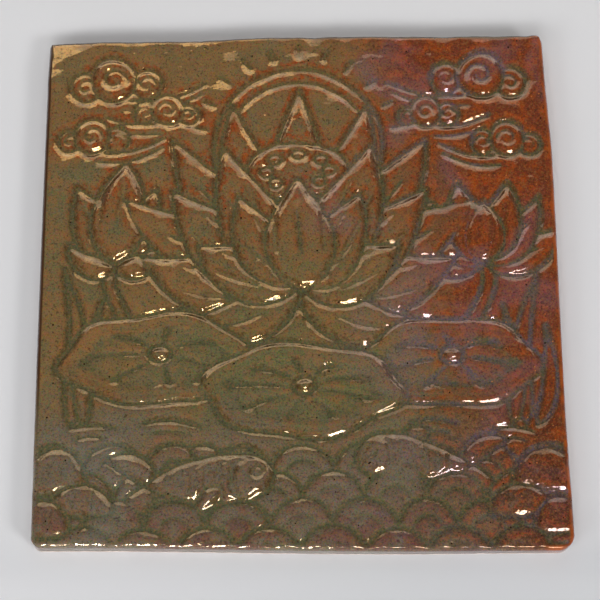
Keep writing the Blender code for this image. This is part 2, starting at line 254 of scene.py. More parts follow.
def ribbon(line: np.ndarray, half: float) -> np.ndarray:
    """Draw the closed outline of a band of even width along a line."""
    offset = across(line) * half
    return np.vstack([line + offset, (line - offset)[::-1]])


def rounded(outline: np.ndarray) -> np.ndarray:
    """Cut the corners off a closed outline twice, so that it turns softly.

    Args:
        outline: The outline's points.

    Returns:
        The softer outline's points.
    """
    for _ in range(2):
        following = np.roll(outline, -1, axis=0)
        outline = np.stack([0.75 * outline + 0.25 * following, 0.25 * outline + 0.75 * following], axis=1)
        outline = outline.reshape(-1, 2)
    return outline


@dataclass
class LotusPond:
    """The drawing, on a square of 100 by 100 units with its middle at the tile's middle."""

    extent: float = 100.0
    petal_blunt: float = 0.7
    petal_swell: float = 1.2
    vein_spread: float = 0.7
    vein_strength: float = 0.6
    seed_ring: Pair = (0.62, 0.56)
    seed_radii: Pair = (1.3, 1.0)
    vein_start: Pair = (3.2, 2.3)
    vein_end: Pair = (0.74, 0.68)
    dish_share: Pair = (0.86, 0.8)
    dish_drop: float = 3.5
    pad_wave: float = 0.055
    pad_waves: float = 6.0
    hub_radii: Pair = (2.1, 1.5)
    wave_rows: int = 4
    wave_spacing: float = 11.6
    wave_radii: Pair = (6.1, 6.0)
    wave_top: float = -36.6
    wave_drop: float = 5.0

    def petal(self, root: Place, tip: Place, half: float, bow: float, layer: float,
              veins: int = 0) -> list[Mark]:
        """Draw a petal with its veins.

        Args:
            root: Where the petal grows from.
            tip: Its point.
            half: Half its greatest width.
            bow: How far it leans to the left.
            layer: How far forward it stands.
            veins: The number of cuts along it.

        Returns:
            Its marks.
        """
        marks = [form(blade(root, tip, half, bow, blunt=self.petal_blunt), layer, self.petal_swell)]
        for number in range(veins):
            line = middle_line(root, tip, bow, 13)
            shift = (number - (veins - 1) / 2.0) * half * self.vein_spread
            marks.append(cut((line + across(line) * shift)[4:10], self.vein_strength))
        return marks

    def fan(self, root: Place, spreads: Sequence[float], length: float, half: float, bow: float,
            layer: float, veins: int = 0) -> list[Mark]:
        """Draw pairs of petals about the upright, the widest pair first.

        Args:
            root: Where the petals grow from.
            spreads: Each pair's angle from the upright, in degrees.
            length: How long a petal is.
            half: Half its greatest width.
            bow: How far it leans outwards.
            layer: How far forward it stands.
            veins: The number of cuts along it.

        Returns:
            Its marks, from the back to the front.
        """
        marks: list[Mark] = []
        for spread in spreads:
            for side in (-1, 1):
                tip = polar(root, 90.0 + side * spread, length)
                marks += self.petal(root, tip, half, side * bow, layer, veins)
        return marks

    def seed_pod(self, centre: Place, radii: Place, seeds: int) -> list[Mark]:
        """Draw the pod in the bloom's heart, with a ring of seeds.

        Args:
            centre: Its middle.
            radii: Half its width and height.
            seeds: How many seeds.

        Returns:
            Its marks, from the back to the front.
        """
        marks = [form(ring(centre, radii), 3.0)]
        seed_ring = (self.seed_ring[0] * radii[0], self.seed_ring[1] * radii[1])
        for number in range(seeds):
            place = around(centre, seed_ring, math.radians(360.0 * number / seeds))
            marks.append(form(ring(place, self.seed_radii, 10), 4.0))
        return marks

    def bloom(self) -> list[Mark]:
        """Draw the open lotus, back petals first.

        Returns:
            Its marks, from the back to the front.
        """
        root = (0.0, -0.5)
        marks = self.fan(root, (64, 41, 20), 38.0, 6.4, 0.06, 1.0, 1)
        marks += self.petal(root, (0.0, 39.0), 5.6, 0.0, 1.4)
        marks += self.seed_pod((0.0, 22.0), (10.0, 5.8), 8)
        marks += self.fan(root, (80, 53, 27), 31.0, 6.6, 0.09, 2.5, 2)
        marks += self.fan(root, (106,), 25.0, 4.6, 0.16, 2.0, 1)
        marks += self.fan(root, (68, 34), 21.5, 5.4, 0.09, 4.0, 2)
        marks += self.petal((0.0, -2.0), (0.0, 20.5), 6.8, 0.0, 5.0, 3)
        return marks

    def stem(self, low: Place, pull: Place, high: Place, half: float = 1.2) -> list[Mark]:
        """Draw a stalk as a narrow band."""
        return [form(ribbon(bend(low, pull, high), half), 1.5, 0.8)]

    def bud(self, root: Place, size: float) -> list[Mark]:
        """Draw a closed bud on its stalk.

        Args:
            root: Where it joins its stalk.
            size: Its height.

        Returns:
            Its marks, from the back to the front.
        """
        marks = self.stem((root[0] + 6.0, -12.0), (root[0] - 4.0, 0.0), root)
        marks += self.fan(root, (27,), size * 0.82, size * 0.2, 0.05, 2.0, 1)
        marks += self.petal(root, polar(root, 86.0, size), size * 0.27, 0.0, 4.0, 3)
        marks += self.fan((root[0], root[1] - 0.8), (64,), size * 0.5, size * 0.11, 0.2, 3.0)
        return marks

    def half_open(self, root: Place, size: float) -> list[Mark]:
        """Draw a half-open flower on its stalk.

        Args:
            root: Where it joins its stalk.
            size: The length of its outer petals.

        Returns:
            Its marks, from the back to the front.
        """
        marks = self.stem((root[0] - 7.0, -12.0), (root[0] + 4.0, -2.0), root)
        marks += self.fan(root, (68, 40), size, size * 0.22, 0.1, 1.5, 1)
        marks += self.fan(root, (17,), size * 1.02, size * 0.25, 0.04, 3.0, 1)
        marks += self.petal(root, polar(root, 90.0, size * 0.76), size * 0.23, 0.0, 4.5, 2)
        return marks

    def pad(self, centre: Place, radii: Place, veins: int, layer: float, turn: float) -> list[Mark]:
        """Draw a lily pad seen from the side: a wavy raised rim round a dish, with veins from its hub.

        Args:
            centre: Its middle.
            radii: Half its width and height.
            veins: How many veins.
            layer: How far forward it stands.
            turn: Turns its waves and veins, in radians.

        Returns:
            Its marks, from the back to the front.
        """
        angles = np.radians(np.linspace(0.0, 360.0, 49)[:-1])
        wave = 1.0 + self.pad_wave * np.sin(self.pad_waves * angles + turn)
        outline = np.column_stack([centre[0] + radii[0] * wave * np.cos(angles),
                                   centre[1] + radii[1] * wave * np.sin(angles)])
        hub = (centre[0] + 0.5, centre[1] + radii[1] * 0.12)
        dish = (outline - centre) * self.dish_share + centre
        marks = [form(outline, layer, 1.2), form(dish, layer - self.dish_drop, 0.3, 0.3)]
        marks.append(form(ring(hub, self.hub_radii, 12), layer))
        vein_end = (self.vein_end[0] * radii[0], self.vein_end[1] * radii[1])
        for number in range(veins):
            angle = math.radians(360.0 * number / veins + 20.0 + 12.0 * turn)
            start, end = around(hub, self.vein_start, angle), around(centre, vein_end, angle)
            pull = ((start[0] + end[0]) / 2.0, (start[1] + end[1]) / 2.0 + 0.9)
            marks.append(cut(bend(start, pull, end, 7), self.vein_strength))
        return marks

    def cloud(self, centre: Place, size: float, facing: int) -> list[Mark]:
        """Draw three curls and a tail that trails away from the way the cloud faces.

        Args:
            centre: The middle of its large curl.
            size: The large curl's radius.
            facing: 1 if it faces right, -1 left.

        Returns:
            Its marks, from the back to the front.
        """
        x, y = centre
        reaches = ((0.6, 1.0), (2.4, 1.15), (4.0, 0.3))
        tail = [(x - facing * reach * size, y - drop * size) for reach, drop in reaches]
        marks = [cut(bend(*tail))]
        marks.append(cut(bend(*[(px + facing * 0.4, py - 1.9) for px, py in tail]), 0.75))
        for shift, drop, share in ((-1.45, 0.2, 0.68), (1.25, 0.3, 0.64), (0.0, 0.0, 1.0)):
            place = (x + facing * shift * size, y - drop * size)
            marks.append(form(ring(place, (share * size, share * size)), 2.0))
            curl = spiral(place, share * size * 0.6, 90.0 + 110.0 * facing, -1.1 * facing)
            marks.append(cut(curl, 0.9))
        return marks

    def sun(self, centre: Place, radius: float, rays: int) -> list[Mark]:
        """Draw the disc behind the bloom, with a rim and short rays.

        Args:
            centre: Its middle.
            radius: The disc's radius.
            rays: How many rays.

        Returns:
            Its marks, from the back to the front.
        """
        marks = [form(ring(centre, (radius, radius), 50), 0.5, 0.8)]
        marks.append(cut(arc(centre, (radius * 0.84, radius * 0.84), 8.0, 172.0, 29), 0.8))
        for number in range(rays):
            angle = 12.0 + (180.0 - 24.0) * number / (rays - 1)
            start, end = polar(centre, angle, radius + 2.0), polar(centre, angle, radius + 4.6)
            marks.append(cut(np.array([start, end]), 0.8))
        return marks

    def carp(self, place: Place, size: float, facing: int, rise: float) -> list[Mark]:
        """Draw a fish seen from the side.

        Args:
            place: The middle of its body.
            size: Its body's length.
            facing: 1 if it swims to the right, -1 to the left.
            rise: How far its head is above its middle.

        Returns:
            Its marks: tail, back fin, body, gill, eye, scales and belly fin.
        """
        head = np.array([place[0] + facing * size * 0.5, place[1] + rise])
        tail = np.array([place[0] - facing * size * 0.5, place[1] - rise])
        along, up = head - tail, np.array([0.0, size])
        marks = []
        for side in (1, -1):
            tip = tail + np.array([-facing * size * 0.3, side * size * 0.2])
            marks.append(form(blade(tail + along * 0.08, tip, size * 0.085, -side * facing * 0.12), 2.0))
        fin = head * 0.6 + tail * 0.4
        marks.append(form(blade(fin + up * 0.1, fin - along * 0.26 + up * 0.27, size * 0.09), 2.0))
        body = blade(head, tail, size * 0.19, 0.0, widest=0.36, blunt=0.5, points=19)
        marks.append(form(body, 4.0, 1.3))
        gill = head * 0.74 + tail * 0.26
        gill_radii = (size * 0.07, size * 0.13)
        marks.append(cut(arc(gill, gill_radii, 90.0 - facing * 20.0, 90.0 + facing * 200.0, 9)))
        marks.append(form(ring(head * 0.87 + tail * 0.13 + up * 0.035, (0.9, 0.9), 10), 5.0))
        scale_radii = (size * 0.045, size * 0.045)
        for column in range(5):
            middle = head - along * (0.38 + 0.1 * column)
            rows = (-1.0, 1.0) if column % 2 else (-1.9, 0.0, 1.9)
            for row in rows:
                spot = middle + up * row * (0.048 - 0.006 * column)
                marks.append(cut(arc(spot, scale_radii, 90.0, 90.0 + 180.0 * facing, 6), 0.5))
        marks.append(form(blade(fin - up * 0.06, fin - along * 0.2 - up * 0.24, size * 0.07), 5.0))
        return marks

    def scallops(self, row: int) -> list[Mark]:
        """Draw one row of overlapping wave crests, each with an inner line.

        Args:
            row: The row, from 0 at the back.

        Returns:
            Its marks, from the back to the front.
        """
        shift = self.wave_spacing / 2.0 if row % 2 else 0.0
        low = self.wave_top - self.wave_drop * row
        marks: list[Mark] = []
        for number in range(-5, 6):
            centre = (number * self.wave_spacing + shift, low)
            if abs(centre[0]) > self.extent / 2.0 + 2.0:
                continue
            marks.append(form(arc(centre, self.wave_radii, -28.0, 208.0, 21), 0.5 + 0.4 * row, 0.8, 0.75))
            radii = (self.wave_radii[0] * 0.52, self.wave_radii[1] * 0.5)
            marks.append(cut(arc(centre, radii, 12.0, 168.0, 11), 0.6))
        return marks

    def water(self) -> list[Mark]:
        """Draw the waves, with a fish in each of the two far rows.

        Returns:
            Its marks, from the back to the front.
        """
        marks: list[Mark] = []
        for row in range(self.wave_rows):
            marks += self.scallops(row)
            if row == 0:
                marks += self.carp((21.0, -33.6), 22.0, -1, 0.8)
            if row == 1:
                marks += self.carp((-17.0, -37.0), 24.0, 1, 1.2)
        return marks

    def ripples(self) -> list[Mark]:
        """Draw the short strokes of still water beyond the waves.

        Returns:
            Its marks.
        """
        places = ((-39.0, -27.5, 9.0), (39.5, -28.2, 8.0), (-24.0, -27.0, 10.0), (25.0, -26.8, 9.0))
        marks = []
        for x, y, width in places:
            long, short = width / 2.0, width / 3.0
            marks.append(cut(bend((x - long, y), (x, y + 1.3), (x + long, y - 0.2))))
            marks.append(cut(bend((x - short, y - 1.9), (x, y - 0.8), (x + short, y - 2.0)), 0.7))
        return marks

    def rock(self, place: Place, half: float, height: float, side: int) -> list[Mark]:
        """Draw one boulder, with short cuts down its face.

        Args:
            place: The middle of its foot and its top's height.
            half: Half its width.
            height: Its height.
            side: 1 for the right of the picture, -1 for the left.

        Returns:
            Its marks, from the back to the front.
        """
        x, y = place
        corners = ((-1.0, -1.0), (-0.95, -0.5), (-0.6, -0.12), (-0.1, 0.0),
                   (0.4, -0.16), (0.85, -0.45), (1.0, -1.0))
        outline = rounded(np.array([(side * (x + out * half), y + up * height) for out, up in corners]))
        marks = [form(outline, 2.5)]
        for number in range(2):
            start = (x - half * (0.45 - 0.5 * number), y - height * 0.28)
            line = bend(start, (start[0] + 1.2, y - height * 0.45), (start[0] + 0.4, y - height * 0.7), 6)
            marks.append(cut(line * (side, 1.0), 0.65))
        return marks

    def rocks(self) -> list[Mark]:
        """Draw the rocks in both near corners.

        Returns:
            Its marks, from the back to the front.
        """
        rocks = (((46.5, -31.0), 7.0, 9.0), ((41.5, -38.0), 6.5, 6.0), ((49.0, -40.5), 6.0, 7.0))
        marks: list[Mark] = []
        for side in (-1, 1):
            for place, half, height in rocks:
                marks += self.rock(place, half, height, side)
        return marks

    def reeds(self) -> list[Mark]:
        """Draw the long leaves at both sides, each with its rib.

        Returns:
            Its marks, from the back to the front.
        """
        blades = (((-43.0, -27.0), (-45.2, 3.0), 1.8, -0.05), ((-40.5, -27.0), (-38.0, -3.0), 1.6, 0.06),
                  ((42.0, -27.0), (45.6, 1.0), 1.8, 0.05), ((39.5, -27.0), (39.0, -5.0), 1.5, -0.07),
                  ((44.0, -27.0), (47.2, -9.0), 1.5, -0.1))
        marks = []
        for root, tip, half, bow in blades:
            marks.append(form(blade(root, tip, half, bow, 0.35), 1.5))
            marks.append(cut(middle_line(root, tip, bow, 13)[3:10], 0.5))
        return marks

    def clouds(self) -> list[Mark]:
        """Draw the clouds at both sides of the sun.

        Returns:
            Its marks, from the back to the front.
        """
        places = (((-36.5, 41.0), 4.5, -1), ((36.5, 41.5), 4.6, 1), ((-41.0, 29.5), 3.6, -1),
                  ((41.5, 28.5), 3.5, 1), ((-25.5, 34.5), 3.2, 1), ((25.5, 34.0), 3.1, -1))
        marks: list[Mark] = []
        for centre, size, facing in places:
            marks += self.cloud(centre, size, facing)
        return marks

    def marks(self) -> list[Mark]:
        """Return every mark, from the back of the picture to its front.

        Returns:
            Every mark.
        """
        marks = self.sun((0.0, 26.5), 16.5, 11) + self.clouds() + self.reeds()
        marks += self.bud((-35.5, 4.0), 20.0) + self.half_open((35.8, 3.5), 16.5)
        marks += self.bloom()
        marks += self.pad((-27.5, -14.5), (18.0, 8.8), 7, 2.0, 0.4)
        marks += self.pad((28.0, -15.5), (17.5, 8.4), 7, 2.0, 1.9)
        marks += self.pad((0.5, -20.5), (19.0, 8.8), 9, 3.0, 3.1)
        return marks + self.ripples() + self.water() + self.rocks()


@dataclass
class Carving:
    """Turns the drawing into a height above the plain face."""

    width: float
    length: float
    pond: LotusPond = field(default_factory=LotusPond)
    groove_reach: float = 0.75 * MM
    groove_depth: float = 0.75 * MM
    pillow_rise: float = 0.7 * MM
    pillow_reach: float = 2.0 * MM
    layer_rise: float = 0.22 * MM
    layer_edge: float = 3.4 * MM
    hand_waver: float = 0.7 * MM
    wavers: tuple[tuple[Wave, Wave], ...] = (((0.6, 0.11, 0.17, 1.3), (0.4, -0.23, 0.31, 0.4)),
                                            ((0.6, 0.13, -0.12, 2.1), (0.4, 0.29, 0.21, 3.3)))
    taper_least: float = 0.5
    taper_gain: float = 2.0
    pillow_far: float = 6.0
    pillow_margin: float = 4.0
    press_change: float = 0.4
    press_limits: Pair = (0.35, 1.4)
    press_bumps: tuple[float, int] = (8.0 * MM, 5)
    near_ease: float = 0.38
    near_span: Pair = (-0.015, -0.045)

    def placed(self) -> list[Mark]:
        """Move the marks from drawing units to metres, with the waver of a hand.

        Returns:
            The marks, in metres from the tile's middle.
        """
        marks = self.pond.marks()
        for mark in marks:
            x, y = mark.line.T
            waver = np.column_stack([
                sum(size * np.sin(by_x * x + by_y * y + start) for size, by_x, by_y, start in waves)
                for waves in self.wavers])
            scale = (self.width / self.pond.extent, self.length / self.pond.extent)
            mark.line = mark.line * scale + self.hand_waver * waver
        return marks

    @staticmethod
    def distance(points: np.ndarray, line: np.ndarray) -> tuple[np.ndarray, np.ndarray]:
        """Measure from points to a line.

        Args:
            points: The places to measure from.
            line: The line's points.

        Returns:
            How far each place is from the line, and how far along it the nearest place is.
        """
        starts, steps = line[:-1], np.diff(line, axis=0)
        lengths = np.maximum(np.linalg.norm(steps, axis=1), 1e-9)
        before = np.concatenate([[0.0], np.cumsum(lengths)])
        nearest, along = np.full(len(points), np.inf), np.zeros(len(points))
        for start, step, length, passed in zip(starts, steps, lengths, before):
            share = np.clip((points - start) @ step / length ** 2, 0.0, 1.0)
            apart = np.linalg.norm(points - start - share[:, None] * step, axis=1)
            closer = apart < nearest
            nearest[closer], along[closer] = apart[closer], (passed + share[closer] * length) / before[-1]
        return nearest, along

    @staticmethod
    def inside(points: np.ndarray, outline: np.ndarray) -> np.ndarray:
        """Tell which points lie within an outline, by the sides that each one's ray crosses.

        Args:
            points: The places to test.
            outline: The outline's points.

        Returns:
            True for each place within.
        """
        x, y = points.T
        odd = np.zeros(len(points), bool)
        for (x0, y0), (x1, y1) in zip(outline, np.roll(outline, -1, axis=0)):
            if y0 != y1:
                odd ^= ((y0 > y) != (y1 > y)) & (x < (x1 - x0) * (y - y0) / (y1 - y0) + x0)
        return odd

    def heights(self, points: np.ndarray) -> np.ndarray:
        """Return the carving's height above the plain face at each place.

        Args:
            points: The places, in metres from the tile's middle.

        Returns:
            The height at each, in metres.
        """
        base, groove = np.zeros(len(points)), np.zeros(len(points))
        near, swell = np.full(len(points), self.pillow_far * self.pillow_reach), np.ones(len(points))
        margin = self.pillow_margin * self.pillow_reach
        for mark in self.placed():
            low, high = mark.line.min(axis=0) - margin, mark.line.max(axis=0) + margin
            where = np.nonzero(((points >= low) & (points <= high)).all(axis=1))[0]
            if not len(where):
                continue
            spots = points[where]
            if mark.tool is Tool.FORM:
                apart, _ = self.distance(spots, mark.closed())
                within = self.inside(spots, mark.line)
                trough = -self.groove_depth * mark.strength * np.exp(-(apart / self.groove_reach) ** 2)
                own, other = where[within], where[~within]
                rise = mark.layer * self.layer_rise - base[own]
                base[own] += rise * smooth(apart[within] / self.layer_edge)
                groove[own], near[own], swell[own] = trough[within], apart[within], mark.swell
                groove[other] = np.minimum(groove[other], trough[~within])
                near[other] = np.minimum(near[other], apart[~within])
            else:
                apart, along = self.distance(spots, mark.line)
                taper = np.clip(self.taper_gain * np.sin(math.pi * along), 0.0, 1.0)
                taper = mark.strength * (self.taper_least + (1.0 - self.taper_least) * taper)
                reach = self.groove_reach * np.sqrt(taper)
                trough = -self.groove_depth * taper * np.exp(-(apart / reach) ** 2)
                groove[where] = np.minimum(groove[where], trough)
                near[where] = np.minimum(near[where], apart + self.groove_reach * (1.0 - taper))
        press = 1.0 + self.press_change * bumps(points[:, 0], points[:, 1], *self.press_bumps)
        press = press - self.near_ease * eased(points[:, 1], self.near_span)
        pillow = self.pillow_rise * swell * (1.0 - np.exp(-near / self.pillow_reach))
        return base + groove * np.clip(press, *self.press_limits) + pillow


@dataclass
class Nodes:
    """Short names for a material's nodes."""

    tree: bpy.types.NodeTree

    def add(self, kind: str, **settings: object) -> bpy.types.Node:
        """Make a node and set its properties.

        Args:
            kind: The node's type.
            settings: Its properties by name.

        Returns:
            The node.
        """
        node = self.tree.nodes.new(kind)
        for name, value in settings.items():
            setattr(node, name, value)
        return node

    def feed(self, socket: Socket, value: object) -> None:
        """Link a socket to an output, or set its value.

        Args:
            socket: The input.
            value: An output to link, or a value to set.
        """
        if isinstance(value, Socket):
            self.tree.links.new(value, socket)
        else:
            socket.default_value = value

    def attribute(self, name: str) -> Socket:
        """Read a number that the mesh carries at each vertex."""
        return self.add("ShaderNodeAttribute", attribute_name=name).outputs["Fac"]

    def place(self) -> Socket:
        """Read the place on the piece, in metres."""
        return self.add("ShaderNodeTexCoord").outputs["Object"]

    def math(self, operation: str, first: object, second: object = 0.5,
             clamp: bool = False) -> Socket:
        """Work out one sum of two numbers.

        Args:
            operation: The sum's name.
            first: Its first number.
            second: Its second number.
            clamp: Whether the result is held between 0 and 1.

        Returns:
            The result.
        """
        node = self.add("ShaderNodeMath", operation=operation, use_clamp=clamp)
        self.feed(node.inputs[0], first)
        self.feed(node.inputs[1], second)
        return node.outputs[0]

    def times(self, first: object, second: object) -> Socket:
        """Multiply two numbers."""
        return self.math("MULTIPLY", first, second)

    def about(self, value: object, gain: float) -> Socket:
        """Centre a number about 0.5 on 0, and multiply it by a gain."""
        return self.times(self.math("SUBTRACT", value, 0.5), gain)

    def noise(self, scale: float, detail: float = 3.0, roughness: float = 0.5, distortion: float = 0.0,
              output: str = "Fac") -> Socket:
        """Make cloudy noise of a scale in patches per metre.

        Args:
            scale: Patches per metre.
            detail: How many finer layers it has.
            roughness: How strong the finer layers are.
            distortion: How far it is pulled about.
            output: Which of its outputs is read.

        Returns:
            A number about 0.5, or three of them.
        """
        node = self.add("ShaderNodeTexNoise")
        self.feed(node.inputs["Vector"], self.place())
        names = ("Scale", "Detail", "Roughness", "Distortion")
        for name, value in zip(names, (scale, detail, roughness, distortion)):
            node.inputs[name].default_value = value
        return node.outputs[output]

    def spots(self, scale: float, radius: float) -> Socket:
        """Make round spots.

        Args:
            scale: Spots per metre.
            radius: A spot's radius as a share of the spacing.

        Returns:
            1 in the middle of each spot, and 0 from its radius outwards.
        """
        node = self.add("ShaderNodeTexVoronoi", feature="F1")
        self.feed(node.inputs["Vector"], self.place())
        node.inputs["Scale"].default_value = scale
        return self.span(node.outputs["Distance"], 0.0, radius, 1.0, 0.0)

    def span(self, value: object, low: float, high: float, start: float = 0.0, end: float = 1.0,
             eased: bool = True) -> Socket:
        """Spread a number from one range over another, held within it.

        Args:
            value: The number.
            low: Where its range starts.
            high: Where its range ends.
            start: The result at the range's start.
            end: The result at its end.
            eased: Whether it eases in and out.

        Returns:
            The number in the new range.
        """
        kind = "SMOOTHSTEP" if eased else "LINEAR"
        node = self.add("ShaderNodeMapRange", interpolation_type=kind, clamp=True)
        for index, item in enumerate((value, low, high, start, end)):
            self.feed(node.inputs[index], item)
        return node.outputs["Result"]

    def mix(self, share: object, first: object, second: object, blend: str = "MIX") -> Socket:
        """Mix two colours.

        Args:
            share: How much of the second.
            first: A colour.
            second: Another.
            blend: How the second goes over the first.

        Returns:
            The colour.
        """
        node = self.add("ShaderNodeMix", data_type="RGBA", blend_type=blend, clamp_factor=True)
        self.feed(node.inputs["Factor"], share)
        self.feed(node.inputs[6], first)
        self.feed(node.inputs[7], second)
        return node.outputs[2]

    def blend(self, share: object, first: object, second: object) -> Socket:
        """Mix two numbers.

        Args:
            share: How much of the second.
            first: A number.
            second: Another.

        Returns:
            The number.
        """
        node = self.add("ShaderNodeMix", data_type="FLOAT", clamp_factor=True)
        self.feed(node.inputs[0], share)
        self.feed(node.inputs[2], first)
        self.feed(node.inputs[3], second)
        return node.outputs[0]

    def stretch(self, vector: Socket, gain: Place, lift: Place) -> Socket:
        """Multiply the three numbers of a colour by a gain each and add a lift to each.

        Args:
            vector: The colour.
            gain: What each of its numbers is multiplied by.
            lift: What is added to each.

        Returns:
            The changed colour.
        """
        node = self.add("ShaderNodeVectorMath", operation="MULTIPLY_ADD")
        for index, item in enumerate((vector, gain, lift)):
            self.feed(node.inputs[index], item)
        return node.outputs[0]

    def split(self, vector: Socket) -> tuple[Socket, ...]:
        """Take a place apart into X, Y and Z.

        Args:
            vector: The place.

        Returns:
            Its three numbers.
        """
        node = self.add("ShaderNodeSeparateXYZ")
        self.feed(node.inputs[0], vector)
        return tuple(node.outputs)


@dataclass(frozen=True)
class GlazeSpans:
    """Where each change of the glaze starts and ends, and what it goes from and to if not from 0 to 1.

    A name that ends in across or along is read from the place, X or Y in metres. One that ends in side is
    read by right_side, and the others from noise or from what the mesh carries at each point.
    """

    tan: Span = (0.42, 0.58)
    tan_along: Span = (0.03, 0.07, 0.0, 0.4)
    amber: Span = (0.50, 0.62, 0.0, 0.5)
    moss: Span = (0.46, 0.36, 0.0, 0.5)
    moss_along: Span = (0.06, 0.0, 0.2, 1.0)
    mid_moss: Span = (0.62, 0.4, 0.15, 0.85)
    mid_moss_across: Span = (0.02, 0.055, 1.0, 0.0)
    mid_moss_along: Span = (0.015, -0.03)
    slate_along: Span = (-0.028, -0.058, 0.0, 0.8)
    ember: Span = (0.45, 0.66)
    rust_side: Span = (0.022, 0.062, 0.32)
    plum: Span = (0.47, 0.6)
    plum_along: Span = (-0.052, -0.072)
    warm: Span = (0.42, 0.56, 0.2, 0.9)
    warm_along: Span = (-0.01, 0.045, 0.2, 1.0)
    warm_side: Span = (0.012, 0.045)
    broken: Span = (0.5, 0.62)
    deep_pool: Span = (0.6, 1.0)
    pool_along: Span = (0.015, 0.06, 0.0, 0.45)
    cold: Span = (0.42, 0.58)
    cold_side: Span = (0.015, 0.055)
    seep: Span = (0.35, 0.9, 0.0, 0.85)
    scorch: Span = (0.40, 0.58, 0.25, 0.85)
    # Where the painted violet sheen lies.
    painted_violet_sheen: Span = (0.52, 0.66)
    painted_violet_sheen_side: Span = (-0.012, 0.03)
    # Where the painted blue-grey sheen lies.
    painted_lake_sheen: Span = (0.48, 0.62)
    painted_lake_sheen_across: Span = (-0.02, -0.06)
    painted_lake_sheen_along: Span = (-0.03, -0.055)
    corner: Span = (0.6, 0.42, 0.1, 0.7)
    corner_along: Span = (-0.025, -0.055)
    amber_grain: Span = (0.52, 0.61, 0.0, 0.35)
    dark_grain: Span = (0.44, 0.32, 0.0, 0.65)
    glow: Span = (0.4, 0.58, 0.1, 0.65)
    glow_rim: Span = (0.1, 0.6)
    glow_across: Span = (0.066, 0.072)
    speck: Span = (0.44, 0.6)
    speck_edge: Span = (0.1, 0.5, 0.0, 0.7)
    speck_side: Span = (0.02, 0.05)
    pinhole: Span = (0.48, 0.56)
    pinhole_edge: Span = (0.15, 0.5)
    rim: Span = (0.15, 0.5)
    rim_along: Span = (-0.055, -0.025)
    rim_across: Span = (0.0735, 0.071)
    far_rim_along: Span = (0.072, 0.076)
    glazed: Span = (0.42, 0.52)
    clay: Span = (0.35, 0.65)
    rough: Span = (0.3, 0.7, 0.06, 0.14)
    cool: Span = (0.48, 0.6)
    cool_side: Span = (-0.005, 0.035)
    straw_along: Span = (-0.02, -0.05)
    dull: Span = (0.50, 0.38)
    dull_along: Span = (0.055, -0.015, 0.0, 0.58)
    patch: Span = (0.57, 0.43, 0.0, 0.85)
    shift_along: Span = (0.03, 0.06)
    shift_across: Span = (-0.05, 0.04, 0.06, -0.09)


